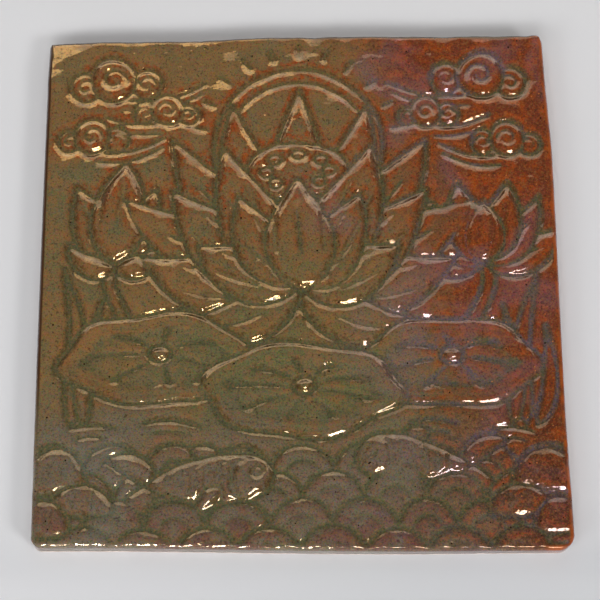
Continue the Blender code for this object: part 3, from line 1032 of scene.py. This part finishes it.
@dataclass(frozen=True)
class LustreGlaze:
    """Glossy glaze over brown clay: olive brown on the left, rust on the right, green where it pools."""

    brown: Colour = srgb(123, 98, 65)
    olive: Colour = srgb(108, 99, 70)
    amber: Colour = srgb(142, 100, 62)
    moss: Colour = srgb(98, 101, 68)
    slate: Colour = srgb(106, 99, 86)
    rust: Colour = srgb(112, 58, 38)
    ember: Colour = srgb(150, 70, 32)
    plum: Colour = srgb(98, 62, 60)
    pool_green: Colour = srgb(98, 97, 70)
    pool_deep: Colour = srgb(80, 84, 60)
    pool_teal: Colour = srgb(74, 84, 62)
    pool_slate: Colour = srgb(86, 84, 90)
    pool_brown: Colour = srgb(104, 88, 56)
    scorch: Colour = srgb(92, 56, 32)
    char: Colour = srgb(80, 68, 42)
    dark_rust: Colour = srgb(64, 44, 34)
    tan_gloss: Colour = (0.46, 0.28, 0.17, 1.0)
    break_red: Colour = srgb(136, 68, 36)
    # Painted lustre sheen: violet on the right stands in for the glaze's iridescent reflection.
    painted_violet_sheen: Colour = srgb(120, 96, 106)
    # Painted lustre sheen: blue-grey low on the left stands in for the glaze's iridescent reflection.
    painted_lake_sheen: Colour = srgb(108, 112, 102)
    dark: Colour = srgb(64, 48, 34)
    # Painted shade along the left, far and right rims.
    painted_shade_brown: Colour = srgb(70, 46, 30)
    border_orange: Colour = srgb(170, 84, 34)
    speck: Colour = srgb(186, 112, 62)
    pinhole: Colour = srgb(40, 28, 18)
    clay: Colour = srgb(226, 208, 200)
    clay_dark: Colour = srgb(196, 172, 160)
    gold_gloss: Colour = (0.95, 0.59, 0.21, 1.0)
    straw_gloss: Colour = (0.82, 0.64, 0.38, 1.0)
    lilac_gloss: Colour = (0.40, 0.29, 0.40, 1.0)
    dull_gloss: Colour = (0.16, 0.10, 0.06, 1.0)
    untinted: Colour = (1.0, 1.0, 1.0, 1.0)
    clay_roughness: float = 0.86
    ior: float = 1.85
    coat_roughness: float = 0.04
    coat_ior: float = 1.5
    coat_weight: float = 0.08
    bump_strength: float = 0.5
    bump_height: float = 0.3 * MM
    haze_noise: Noise = (48.0, 3.0, 0.5, 0.6)
    drift_noise: Noise = (32.0, 4.0, 0.55)
    broad_noise: Noise = (75.0, 4.0, 0.6)
    mottle_noise: Noise = (330.0, 4.0, 0.62)
    fine_noise: Noise = (600.0, 3.0, 0.6)
    grain_noise: Noise = (1500.0, 2.0, 0.6)
    fleck_noise: Noise = (2400.0, 2.0, 0.7)
    dull_noise: Noise = (1500.0, 3.0, 0.6)
    patch_noise: Noise = (120.0, 3.0, 0.6)
    rough_noise: Noise = (260.0, 4.0, 0.6)
    skin_noise: Noise = (480.0, 2.0, 0.45)
    clay_noise: Noise = (380.0, 4.0, 0.65)
    clay_grain: Noise = (1400.0, 4.0, 0.7)
    cold_noise: Noise = (70.0,)
    glow_noise: Noise = (160.0, 3.0)
    speck_noise: Noise = (210.0, 2.0)
    pinhole_noise: Noise = (130.0, 2.0)
    rim_noise: Noise = (70.0, 2.0)
    ragged_noise: Noise = (240.0, 3.0)
    side_wander: float = 0.045
    low_wander: float = 0.05
    rim_wander: float = 1.2
    seep_wander: float = 1.2
    ragged_wander: float = 0.9
    green_middle: float = 0.004
    warm_share: float = 0.8
    plum_share: float = 0.6
    painted_violet_sheen_share: float = 0.3
    painted_lake_sheen_share: float = 0.45
    dull_share: float = 0.85
    near_shift: float = -0.05
    speck_spots: Pair = (430.0, 0.16)
    pinhole_scale: float = 330.0
    pinhole_radius: float = 0.15
    pit_radius: float = 0.2
    pit_depth: float = 0.35
    grain_gain: float = 1.2
    fleck_gain: tuple[float, float, float] = (1.4, 1.6, 2.6)
    fleck_lift: tuple[float, float, float] = (0.3, 0.2, -0.3)
    spans: GlazeSpans = GlazeSpans()

    def right_side(self, nodes: Nodes, start: float, end: float, lean: float = 0.2) -> Socket:
        """Say how far to the right a place is, with a wandering edge that leans along the tile.

        Args:
            nodes: The material's nodes.
            start: Where the right side begins, in metres from the middle.
            end: Where it is full.
            lean: How much sooner it begins at the far edge.

        Returns:
            0 on the left and 1 on the right.
        """
        x, y, _ = nodes.split(nodes.place())
        wander = nodes.about(nodes.noise(*self.drift_noise), self.side_wander)
        along = nodes.math("ADD", nodes.math("ADD", x, nodes.times(y, lean)), wander)
        return nodes.span(along, start, end)

    def face_colour(self, nodes: Nodes) -> Socket:
        """Colour the plain glaze by where it is on the tile.

        Args:
            nodes: The material's nodes.

        Returns:
            The colour of the plain face.
        """
        spans = self.spans
        x, y, _ = nodes.split(nodes.place())
        broad = nodes.noise(*self.broad_noise)
        mottle = nodes.noise(*self.mottle_noise)
        tan = nodes.span(broad, *spans.tan)
        tan = nodes.math("ADD", tan, nodes.span(y, *spans.tan_along), clamp=True)
        colour = nodes.mix(tan, self.olive, self.brown)
        colour = nodes.mix(nodes.span(mottle, *spans.amber), colour, self.amber)
        mossy = nodes.times(nodes.span(mottle, *spans.moss), nodes.span(y, *spans.moss_along))
        colour = nodes.mix(mossy, colour, self.moss)
        middle = nodes.math("ABSOLUTE", nodes.math("SUBTRACT", x, self.green_middle), 0.0)
        mossy = nodes.span(middle, *spans.mid_moss_across)
        mossy = nodes.times(mossy, nodes.span(y, *spans.mid_moss_along))
        mossy = nodes.times(mossy, nodes.span(mottle, *spans.mid_moss))
        colour = nodes.mix(mossy, colour, self.moss)
        low = nodes.math("ADD", y, nodes.about(broad, self.low_wander))
        colour = nodes.mix(nodes.span(low, *spans.slate_along), colour, self.slate)
        rust = nodes.mix(nodes.span(mottle, *spans.ember), self.rust, self.ember)
        colour = nodes.mix(self.right_side(nodes, *spans.rust_side), colour, rust)
        purple = nodes.times(nodes.span(low, *spans.plum_along), nodes.span(broad, *spans.plum))
        return nodes.mix(nodes.times(purple, self.plum_share), colour, self.plum)

    def colour(self, nodes: Nodes) -> Socket:
        """Add the pools, the breaks, the painted lustre sheen, the painted shade on the rim and the
        speckle to the plain glaze.

        Args:
            nodes: The material's nodes.

        Returns:
            The glaze's colour.
        """
        spans = self.spans
        pool, edge, steep = (nodes.attribute(name) for name in ("pool", "edge", "steep"))
        x, y, _ = nodes.split(nodes.place())
        grain = nodes.noise(*self.grain_noise)
        mottle = nodes.noise(*self.fine_noise)
        colour = self.face_colour(nodes)
        right = nodes.times(self.right_side(nodes, *spans.warm_side), self.warm_share)
        high = nodes.math("MAXIMUM", nodes.span(y, *spans.warm_along), right)
        warm = nodes.times(nodes.times(edge, high), nodes.span(mottle, *spans.warm))
        red = nodes.mix(nodes.span(mottle, *spans.broken), self.break_red, self.ember)
        colour = nodes.mix(warm, colour, red)
        green = nodes.mix(nodes.span(pool, *spans.deep_pool), self.pool_green, self.pool_deep)
        green = nodes.mix(nodes.span(y, *spans.pool_along), green, self.pool_brown)
        cold = nodes.span(nodes.noise(*self.cold_noise), *spans.cold)
        cold = nodes.mix(cold, self.pool_teal, self.pool_slate)
        green = nodes.mix(self.right_side(nodes, *spans.cold_side), green, cold)
        seep = nodes.math("ADD", pool, nodes.about(mottle, self.seep_wander))
        colour = nodes.mix(nodes.span(seep, *spans.seep), colour, green)
        scorched = nodes.times(steep, nodes.span(mottle, *spans.scorch))
        colour = nodes.mix(scorched, colour, nodes.mix(high, self.char, self.scorch))
        # Painted sheen: violet patches on the right stand in for the lustre's iridescent reflection.
        haze = nodes.noise(*self.haze_noise)
        painted_lilac_sheen = nodes.times(nodes.span(haze, *spans.painted_violet_sheen), self.right_side(nodes, *spans.painted_violet_sheen_side))
        colour = nodes.mix(nodes.times(painted_lilac_sheen, self.painted_violet_sheen_share), colour, self.painted_violet_sheen)
        # Painted sheen: blue-grey patches low on the left stand in for the lustre's iridescent
        # reflection.
        left = nodes.times(nodes.span(x, *spans.painted_lake_sheen_across), nodes.span(y, *spans.painted_lake_sheen_along))
        blue = nodes.times(nodes.span(haze, *spans.painted_lake_sheen), left)
        colour = nodes.mix(nodes.times(blue, self.painted_lake_sheen_share), colour, self.painted_lake_sheen)
        corner = nodes.times(right, nodes.span(y, *spans.corner_along))
        corner = nodes.times(corner, nodes.span(mottle, *spans.corner))
        colour = nodes.mix(corner, colour, self.dark_rust)
        colour = nodes.mix(nodes.span(grain, *spans.amber_grain), colour, self.amber)
        colour = nodes.mix(nodes.span(grain, *spans.dark_grain), colour, self.dark)
        fleck = nodes.noise(*self.fleck_noise, output="Color")
        fleck = nodes.stretch(fleck, self.fleck_gain, self.fleck_lift)
        colour = nodes.mix(1.0, colour, fleck, "MULTIPLY")
        # Painted shade: the left, far and right rims are darkened to brown, and the near rim is left lit.
        colour = nodes.mix(self.painted_shade_rim(nodes), colour, self.painted_shade_brown)
        glow = nodes.span(nodes.attribute("border"), *spans.glow_rim)
        glow = nodes.times(glow, nodes.span(x, *spans.glow_across))
        glow = nodes.times(glow, nodes.span(nodes.noise(*self.glow_noise), *spans.glow))
        colour = nodes.mix(glow, colour, self.border_orange)
        specks = nodes.times(nodes.spots(*self.speck_spots), self.right_side(nodes, *spans.speck_side))
        specks = nodes.times(specks, nodes.span(nodes.noise(*self.speck_noise), *spans.speck))
        colour = nodes.mix(nodes.span(specks, *spans.speck_edge), colour, self.speck)
        sparse = nodes.span(nodes.noise(*self.pinhole_noise), *spans.pinhole)
        holes = nodes.times(nodes.spots(self.pinhole_scale, self.pinhole_radius), sparse)
        return nodes.mix(nodes.span(holes, *spans.pinhole_edge), colour, self.pinhole)

    def painted_shade_rim(self, nodes: Nodes) -> Socket:
        """Say where the rim is darkened with painted shade: along the left, far and right edges, not
        along the near one.

        Args:
            nodes: The material's nodes.

        Returns:
            1 where the rim gets painted shade, and 0 elsewhere.
        """
        x, y, _ = nodes.split(nodes.place())
        beyond = nodes.times(nodes.span(y, *self.spans.rim_along), nodes.span(x, *self.spans.rim_across))
        wander = nodes.about(nodes.noise(*self.rim_noise), self.rim_wander)
        wander = nodes.times(wander, nodes.span(y, *self.spans.far_rim_along))
        rim = nodes.math("ADD", nodes.attribute("border"), wander)
        return nodes.times(nodes.span(rim, *self.spans.rim), beyond)

    def material(self) -> bpy.types.Material:
        """Build the material: glaze on the face, and bare clay where it doesn't reach.

        Returns:
            The material.
        """
        material = bpy.data.materials.new("lustre_glaze")
        material.use_nodes = True
        nodes = Nodes(material.node_tree)
        shader = material.node_tree.nodes["Principled BSDF"]
        spans = self.spans
        ragged = nodes.about(nodes.noise(*self.ragged_noise), self.ragged_wander)
        glazed = nodes.span(nodes.math("ADD", nodes.attribute("glazed"), ragged), *spans.glazed)
        clay = nodes.span(nodes.noise(*self.clay_noise), *spans.clay)
        clay = nodes.mix(clay, self.clay_dark, self.clay)
        nodes.feed(shader.inputs["Base Color"], nodes.mix(glazed, clay, self.colour(nodes)))
        rough = nodes.span(nodes.noise(*self.rough_noise), *spans.rough)
        nodes.feed(shader.inputs["Roughness"], nodes.blend(glazed, self.clay_roughness, rough))
        x, y, _ = nodes.split(nodes.place())
        haze = nodes.noise(*self.haze_noise)
        cool = nodes.mix(nodes.span(haze, *spans.cool), self.tan_gloss, self.lilac_gloss)
        warm = nodes.mix(nodes.span(y, *spans.straw_along), self.gold_gloss, self.straw_gloss)
        gloss = nodes.mix(self.right_side(nodes, *spans.cool_side), warm, cool)
        dulled = nodes.times(nodes.span(nodes.noise(*self.dull_noise), *spans.dull), self.dull_share)
        far_shift = nodes.span(x, *spans.shift_across)
        shift = nodes.blend(nodes.span(y, *spans.shift_along), self.near_shift, far_shift)
        patchy = nodes.math("ADD", nodes.noise(*self.patch_noise), shift)
        patchy = nodes.span(patchy, *spans.patch)
        for cause in (patchy, nodes.span(y, *spans.dull_along), self.painted_shade_rim(nodes)):
            dulled = nodes.math("MAXIMUM", dulled, cause)
        gloss = nodes.mix(dulled, gloss, self.dull_gloss)
        nodes.feed(shader.inputs["Specular Tint"], nodes.mix(glazed, self.untinted, gloss))
        nodes.feed(shader.inputs["Coat Weight"], nodes.times(glazed, self.coat_weight))
        shader.inputs["IOR"].default_value = self.ior
        shader.inputs["Coat Roughness"].default_value = self.coat_roughness
        shader.inputs["Coat IOR"].default_value = self.coat_ior
        nodes.feed(shader.inputs["Normal"], self.surface(nodes, glazed))
        return material

    def surface(self, nodes: Nodes, glazed: Socket) -> Socket:
        """Make the skin's fine unevenness: ripples and pinholes in the glaze, grain in the clay.

        Args:
            nodes: The material's nodes.
            glazed: 1 where there is glaze and 0 on bare clay.

        Returns:
            The bent normal.
        """
        skin = nodes.noise(*self.skin_noise)
        pits = nodes.times(nodes.spots(self.pinhole_scale, self.pit_radius), self.pit_depth)
        glaze = nodes.math("SUBTRACT", skin, pits)
        grain = nodes.times(nodes.noise(*self.clay_grain), self.grain_gain)
        bump = nodes.add("ShaderNodeBump")
        bump.inputs["Strength"].default_value = self.bump_strength
        bump.inputs["Distance"].default_value = self.bump_height
        nodes.feed(bump.inputs["Height"], nodes.blend(glazed, grain, glaze))
        return bump.outputs["Normal"]


@dataclass
class TileSlab:
    """The slab itself: its wavy outline, its carved face, its rounded edges, its sides and its back."""

    node: str = "tile"
    width: float = 152.0 * MM
    length: float = 158.8 * MM
    thickness: float = 7.0 * MM
    near_corners: Pair = (2.8 * MM, 4.5 * MM)
    far_corners: Pair = (1.2 * MM, 3.0 * MM)
    arris_width: float = 1.3 * MM
    arris_drop: float = 1.2 * MM
    back_arris: float = 0.7 * MM
    left_bow: float = 0.3 * MM
    right_hollow: float = 0.2 * MM
    right_taper: float = 1.4 * MM
    right_flare: float = 0.5 * MM
    near_taper: float = 1.8 * MM
    far_taper: float = 1.1 * MM
    foot_lean: float = 0.2 * MM
    lean_fade: int = 4
    hollow_middle: float = -0.45
    hollow_reach: float = 0.9
    right_taper_span: Pair = (0.45, 1.0)
    right_flare_span: Pair = (-0.5, -0.9)
    near_taper_span: Pair = (0.5, -1.0)
    far_taper_span: Pair = (0.0, -0.55)
    lump_place: Pair = (3.7 * MM, 1.2 * MM)
    lump_spread: float = 2.8 * MM
    lump_rise: float = 0.9 * MM
    dip: float = 2.1 * MM
    dip_reach: Pair = (20.5 * MM, 10.2 * MM)
    dip_calm: float = 0.6
    dip_calm_reach: float = 1.6
    unevenness: tuple[BumpSet, ...] = ((0.08 * MM, 6.0 * MM, 3), (0.055 * MM, 2.2 * MM, 7))
    far_unevenness: BumpSet = (0.25 * MM, 5.0 * MM, 11)
    far_bump_span: Pair = (0.35, 0.95)
    rim_margin: float = 2.2 * MM
    rim_level: float = 0.4 * MM
    columns: int = 296
    rows: int = 300
    softening: int = 4
    fill_passes: int = 60
    hollow_passes: int = 40
    basin_passes: int = 10
    crest_passes: int = 5
    sharp_angle: float = 60.0
    glaze_fill: float = 0.6 * MM
    basin_height: float = 0.7 * MM
    basin_most: float = 0.5
    pool_depth: float = 0.45 * MM
    crest_least: float = 0.024 * MM
    crest_span: float = 0.06 * MM
    steep_least: float = 0.22
    steep_span: float = 0.3
    rim_width: float = 1.9 * MM
    side_levels: tuple[Pair, ...] = ((0.8, 1.0), (0.5, 1.0), (0.25, 0.55), (0.1, 0.0), (0.0, 0.0))
    glaze: LustreGlaze = field(default_factory=LustreGlaze)
    piece: Optional[bpy.types.Object] = None

    def edge_insets(self, across_share: np.ndarray, up_share: np.ndarray) -> tuple[np.ndarray, ...]:
        """Say how far each hand-cut edge lies inside the true rectangle: left, right, near and far.

        Args:
            across_share: Each place across the tile, from -1 to 1.
            up_share: Each place along it, from -1 to 1.

        Returns:
            The four insets at each place.
        """
        left = self.left_bow * up_share ** 2
        off_middle = np.abs(up_share - self.hollow_middle)
        right = self.right_hollow * smooth(1.0 - off_middle / self.hollow_reach)
        right += self.right_taper * eased(up_share, self.right_taper_span)
        right -= self.right_flare * eased(up_share, self.right_flare_span)
        near = self.near_taper * eased(across_share, self.near_taper_span)
        far = self.far_taper * eased(across_share, self.far_taper_span)
        return left, right, near, far

    def round_corners(self, x: np.ndarray, y: np.ndarray) -> tuple[np.ndarray, np.ndarray]:
        """Squeeze each square corner of the grid into a quarter disc, with its own radius at each corner.

        Args:
            x: Each place across the tile.
            y: Each place along it.

        Returns:
            The moved places.
        """
        near, far = np.where(x < 0.0, *self.near_corners), np.where(x < 0.0, *self.far_corners)
        radius = np.where(y < 0.0, near, far)
        beyond_x = np.maximum(np.abs(x) - (self.width / 2.0 - radius), 0.0)
        beyond_y = np.maximum(np.abs(y) - (self.length / 2.0 - radius), 0.0)
        shrink_x = beyond_x * (1.0 - np.sqrt(1.0 - (beyond_y / radius) ** 2 / 2.0))
        shrink_y = beyond_y * (1.0 - np.sqrt(1.0 - (beyond_x / radius) ** 2 / 2.0))
        return x - np.sign(x) * shrink_x, y - np.sign(y) * shrink_y

    @staticmethod
    def blur(heights: np.ndarray, passes: int) -> np.ndarray:
        """Soften a grid of heights, each pass by a quarter, a half and a quarter along rows and columns.

        Args:
            heights: The grid.
            passes: How many times.

        Returns:
            The softer grid.
        """
        for _ in range(passes):
            wide = np.pad(heights, 1, mode="edge")
            wide = 0.5 * wide[1:-1] + 0.25 * (wide[:-2] + wide[2:])
            heights = 0.5 * wide[:, 1:-1] + 0.25 * (wide[:, :-2] + wide[:, 2:])
        return heights

    def face(self) -> tuple[np.ndarray, np.ndarray, np.ndarray]:
        """Work out the carved face on a grid twice as fine as the mesh, soften it and thin it out.

        Returns:
            By row and column: the face's points, the carving's height, and the nearness to the rim.
        """
        shape = (2 * self.rows - 1, 2 * self.columns - 1)
        v, u = (share.ravel() for share in np.mgrid[-1.0:1.0:shape[0] * 1j, -1.0:1.0:shape[1] * 1j])
        x, y = self.round_corners(u * self.width / 2.0, v * self.length / 2.0)
        left, right, near, far = self.edge_insets(u, v)
        x += left * np.clip(-u, 0.0, 1.0) - right * np.clip(u, 0.0, 1.0)
        y += near * np.clip(-v, 0.0, 1.0) - far * np.clip(v, 0.0, 1.0)
        x, y = np.clip(x, CAD_LOW[0], CAD_HIGH[0]), np.clip(y, CAD_LOW[1], CAD_HIGH[1])
        rim = np.minimum((1.0 - np.abs(u)) * self.width, (1.0 - np.abs(v)) * self.length) / 2.0
        turn = 1.0 - np.clip(rim / self.arris_width, 0.0, 1.0)
        drop = self.arris_drop * (1.0 - np.sqrt(1.0 - turn ** 2))
        from_right, from_far = self.width / 2.0 - x, self.length / 2.0 - y
        lump = np.hypot(from_right - self.lump_place[0], from_far - self.lump_place[1])
        rise = self.lump_rise * smooth(1.0 - lump / self.lump_spread)
        corner = (x + self.width / 2.0) / self.dip_reach[0] + from_far / self.dip_reach[1]
        drop += self.dip * np.maximum(1.0 - corner, 0.0)
        carved = Carving(self.width, self.length).heights(np.column_stack([x, y])).reshape(shape)
        carved = self.pour_glaze(carved)
        carved = self.rim_level + (carved - self.rim_level) * smooth(rim.reshape(shape) / self.rim_margin)
        calm = self.dip_calm * np.clip(self.dip_calm_reach - corner, 0.0, 1.0)
        far_share = eased(v, self.far_bump_span) * (1.0 - calm)
        uneven = sum(height * bumps(x, y, spacing, seed) for height, spacing, seed in self.unevenness)
        height, spacing, seed = self.far_unevenness
        uneven = uneven + height * far_share * bumps(x, y, spacing, seed)
        z = self.thickness + carved + (uneven + rise - drop).reshape(shape)
        points = np.stack([x.reshape(shape), y.reshape(shape), np.minimum(z, CAD_HIGH[2])], axis=-1)
        border = 1.0 - smooth(rim.reshape(shape) / self.rim_width)
        return points[::2, ::2], carved[::2, ::2], border[::2, ::2]

    def pour_glaze(self, carved: np.ndarray) -> np.ndarray:
        """Soften the carving as glaze does, and fill the deepest cuts.

        Args:
            carved: The bare clay's height by row and column.

        Returns:
            The glazed surface's height.
        """
        soft = self.blur(carved, self.softening)
        around = self.blur(soft, self.fill_passes)
        depth = np.maximum(around - soft, 0.0)
        filled = self.glaze_fill * (1.0 - np.exp(-depth / self.glaze_fill))
        return np.where(soft < around, around - filled, soft)

    def glaze_flow(self, carved: np.ndarray) -> tuple[np.ndarray, np.ndarray, np.ndarray]:
        """Say where glaze gathers, where it draws thin, and where the carving is steep.

        Args:
            carved: The carving's height by row and column.

        Returns:
            From 0 to 1 at each place: the pooled glaze, the glaze that is thin on an edge, and the slope.
        """
        hollow = self.blur(carved, self.hollow_passes) - carved
        basin = 1.0 - self.blur(carved, self.basin_passes) / self.basin_height
        basin = np.clip(basin, 0.0, self.basin_most)
        pool = np.clip(hollow / self.pool_depth + basin, 0.0, 1.0)
        crest = carved - self.blur(carved, self.crest_passes)
        edge = np.clip((crest - self.crest_least) / self.crest_span, 0.0, 1.0)
        rise, run = np.gradient(carved, self.length / self.rows, self.width / self.columns)
        steep = np.clip((np.hypot(rise, run) - self.steep_least) / self.steep_span, 0.0, 1.0)
        return pool, edge, steep

    def mesh(self) -> bpy.types.Mesh:
        """Build the closed slab, with what its glaze reads at each point.

        Returns:
            The mesh.
        """
        face, carved, border = self.face()
        pool, edge, steep = self.glaze_flow(carved)
        rows, columns = self.rows, self.columns
        index = np.arange(rows * columns).reshape(rows, columns)
        quads = np.stack([index[:-1, :-1], index[:-1, 1:], index[1:, 1:], index[1:, :-1]], axis=-1)
        rim = np.concatenate([index[0, :-1], index[:-1, -1], index[-1, :0:-1], index[:0:-1, 0]])
        points, sides = [face.reshape(-1, 3)], []
        ring_before, count = rim, rows * columns
        outline = face.reshape(-1, 3)[rim]
        for share, _ in self.side_levels:
            inset = 0.0 if share else self.back_arris
            level = outline.copy()
            right_share = outline[:, 0] / (self.width / 2.0)
            far_share = outline[:, 1] / (self.length / 2.0)
            lean = self.foot_lean * (1.0 - share) * right_share
            lean *= np.maximum(-far_share, 0.0) ** self.lean_fade
            level[:, 0] -= inset * right_share
            level[:, 1] += lean - inset * far_share
            level[:, 2] = outline[:, 2] * share
            ring_now = np.arange(count, count + len(rim))
            around = (np.roll(ring_before, -1), ring_before, ring_now, np.roll(ring_now, -1))
            sides.append(np.stack(around, axis=-1))
            points.append(level)
            ring_before, count = ring_now, count + len(rim)
        mesh = bpy.data.meshes.new("glazed_tile")
        faces = quads.reshape(-1, 4).tolist() + np.concatenate(sides).tolist()
        faces.append(ring_before[::-1].tolist())
        mesh.from_pydata(np.concatenate(points).tolist(), [], faces)
        skirt = np.repeat([glazed for _, glazed in self.side_levels], len(rim))
        zero, one = np.zeros(len(skirt)), np.ones(len(skirt))
        within = 1.0 - border
        flows = (("pool", pool * within, zero), ("edge", edge * within, zero),
                 ("steep", steep * within, zero), ("border", border, one),
                 ("glazed", np.ones_like(pool), skirt))
        for name, on_face, on_skirt in flows:
            values = np.concatenate([on_face.ravel(), on_skirt]).astype(np.float32)
            mesh.attributes.new(name, "FLOAT", "POINT").data.foreach_set("value", values)
        mesh.shade_smooth()
        mesh.set_sharp_from_angle(angle=math.radians(self.sharp_angle))
        mesh.validate()
        return mesh

    def build(self) -> bpy.types.Object:
        """Make the piece and let it stand for the solid.

        Returns:
            The piece.
        """
        self.piece = bpy.data.objects.new("glazed_tile", self.mesh())
        bpy.context.scene.collection.objects.link(self.piece)
        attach(self.piece, "root")
        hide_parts(self.node)
        return self.piece

    def dress(self) -> None:
        """Give the piece its glaze."""
        self.piece.data.materials.append(self.glaze.material())


def way_out(azimuth: float, elevation: float) -> Vector:
    """Return the way out from the tile at an angle in degrees round from its near side, and one up."""
    turn, rise = math.radians(azimuth), math.radians(elevation)
    return Vector((math.sin(turn) * math.cos(rise), -math.cos(turn) * math.cos(rise), math.sin(rise)))


@dataclass
class Lamp:
    """One soft lamp, placed by its direction from the tile."""

    name: str
    azimuth: float
    elevation: float
    distance: float
    size: Pair
    watts: float
    colour: tuple[float, float, float] = (1.0, 1.0, 1.0)
    on_matt: bool = True
    in_gloss: bool = True

    def build(self) -> bpy.types.Object:
        """Make the lamp and turn it to the tile.

        Returns:
            The lamp.
        """
        light = bpy.data.lights.new(self.name, "AREA")
        light.shape, light.size, light.size_y = "RECTANGLE", self.size[0], self.size[1]
        light.energy, light.color = self.watts, self.colour
        lamp = bpy.data.objects.new(self.name, light)
        way = way_out(self.azimuth, self.elevation)
        lamp.location = way * self.distance
        lamp.rotation_euler = way.to_track_quat("Z", "Y").to_euler()
        lamp.visible_camera = False
        lamp.visible_diffuse = self.on_matt
        lamp.visible_glossy = self.in_gloss
        bpy.context.scene.collection.objects.link(lamp)
        return lamp


@dataclass
class Studio:
    """The pale floor with its painted shade, the lamps and the camera."""

    floor_size: float = 20.0
    floor_gap: float = 0.02 * MM
    floor_roughness: float = 0.7
    floor_colour: Colour = (0.725, 0.725, 0.742, 1.0)
    # Painted shade on the floor: its darker colour, how it grows to the right, a painted contact shadow
    # by the tile's near edge, and the near side it keeps to.
    painted_shade_floor: Colour = (0.61, 0.62, 0.64, 1.0)
    painted_shade_right: Span = (-0.09, 0.05, 0.0, 0.78)
    painted_contact_shadow: Span = (-0.089, -0.081, 0.0, 0.35)
    painted_shade_near_only: Pair = (-0.062, -0.084)
    camera_azimuth: float = -0.43
    camera_elevation: float = 71.0
    camera_distance: float = 0.5595
    camera_target: tuple[float, float, float] = (0.0, 0.0, 8.0 * MM)
    camera_lens: float = 115.07
    camera_sensor: float = 36.0
    camera_clip: float = 0.01
    camera_shift: Pair = (0.0009, -0.0317)
    zenith: Colour = (0.10, 0.10, 0.105, 1.0)
    horizon: Colour = (0.45, 0.455, 0.47, 1.0)
    horizon_span: Pair = (0.05, 0.4)

    def build_floor(self) -> bpy.types.Object:
        """Make the pale floor that the tile lies on, with painted shade near the tile, more to the right.

        Returns:
            The floor.
        """
        bpy.ops.mesh.primitive_plane_add(size=self.floor_size, location=(0.0, 0.0, -self.floor_gap))
        floor = bpy.context.object
        floor.name = "floor"
        material = bpy.data.materials.new("floor")
        material.use_nodes = True
        shader = material.node_tree.nodes["Principled BSDF"]
        nodes = Nodes(material.node_tree)
        x, y, _ = nodes.split(nodes.place())
        # Painted shade: darker towards the right, and a painted contact shadow just beyond the tile's
        # near edge, on the near side only.
        shade = nodes.math("ADD", nodes.span(x, *self.painted_shade_right), nodes.span(y, *self.painted_contact_shadow))
        shade = nodes.times(shade, nodes.span(y, *self.painted_shade_near_only))
        nodes.feed(shader.inputs["Base Color"], nodes.mix(shade, self.floor_colour, self.painted_shade_floor))
        shader.inputs["Roughness"].default_value = self.floor_roughness
        floor.data.materials.append(material)
        return floor

    def build_lamps(self) -> list[bpy.types.Object]:
        """Build four soft lamps that light what is matt, and three that show in the gloss alone.

        Those three are a small key from the viewer's right, a warm card beyond the far edge, and a narrow
        strip at the near side.

        Returns:
            The lamps.
        """
        lamps = [
            Lamp("key", 22.0, 46.5, 1.1, (0.34, 0.15), 16.0, (1.0, 0.99, 0.97), on_matt=False),
            Lamp("near_fill", -8.0, 41.0, 3.06, (1.62, 0.54), 27.2, (1.0, 0.995, 0.98), in_gloss=False),
            Lamp("right_fill", 48.0, 35.0, 2.7, (0.63, 0.63), 24.0, (1.0, 0.995, 0.99), in_gloss=False),
            Lamp("left_fill", -48.0, 33.0, 2.4, (0.96, 0.96), 16.0, in_gloss=False),
            Lamp("top_fill", 180.0, 80.0, 1.6, (1.6, 1.6), 7.6, (0.98, 0.99, 1.0), in_gloss=False),
            Lamp("far_card", 180.0, 25.0, 0.42, (0.72, 0.3), 3.0, (1.0, 0.9, 0.74), on_matt=False),
            Lamp("near_strip", -9.5, 22.0, 1.0, (0.07, 0.42), 20.0, (0.94, 0.96, 1.0), on_matt=False),
        ]
        return [lamp.build() for lamp in lamps]

    def build_world(self) -> None:
        """Fill the room with even light, pale at the horizon and dim overhead."""
        world = bpy.data.worlds.new("room")
        world.use_nodes = True
        nodes = Nodes(world.node_tree)
        _, _, up = nodes.split(nodes.add("ShaderNodeTexCoord").outputs["Generated"])
        background = world.node_tree.nodes["Background"]
        sky = nodes.mix(nodes.span(up, *self.horizon_span), self.horizon, self.zenith)
        nodes.feed(background.inputs["Color"], sky)
        bpy.context.scene.world = world

    def build_camera(self) -> bpy.types.Object:
        """Look down on the tile from its near side.

        Returns:
            The camera.
        """
        data = bpy.data.cameras.new("camera")
        data.lens, data.sensor_width = self.camera_lens, self.camera_sensor
        data.shift_x, data.shift_y = self.camera_shift
        camera = bpy.data.objects.new("camera", data)
        way = way_out(self.camera_azimuth, self.camera_elevation)
        camera.location = Vector(self.camera_target) + way * self.camera_distance
        camera.rotation_euler = way.to_track_quat("Z", "Y").to_euler()
        data.clip_start = self.camera_clip
        bpy.context.scene.collection.objects.link(camera)
        bpy.context.scene.camera = camera
        return camera

    def build(self) -> None:
        """Build the whole studio."""
        self.build_floor()
        self.build_lamps()
        self.build_world()
        self.build_camera()
        bpy.context.scene.view_settings.view_transform = "Standard"


def main() -> None:
    """Build the tile and its studio."""
    logging.basicConfig(level=logging.INFO, format="%(name)s: %(message)s")
    slab = TileSlab()
    piece = slab.build()
    slab.dress()
    LOG.info("%s: %d vertices, %d faces", piece.name, len(piece.data.vertices), len(piece.data.polygons))
    Studio().build()


if __name__ == "__main__":
    main()
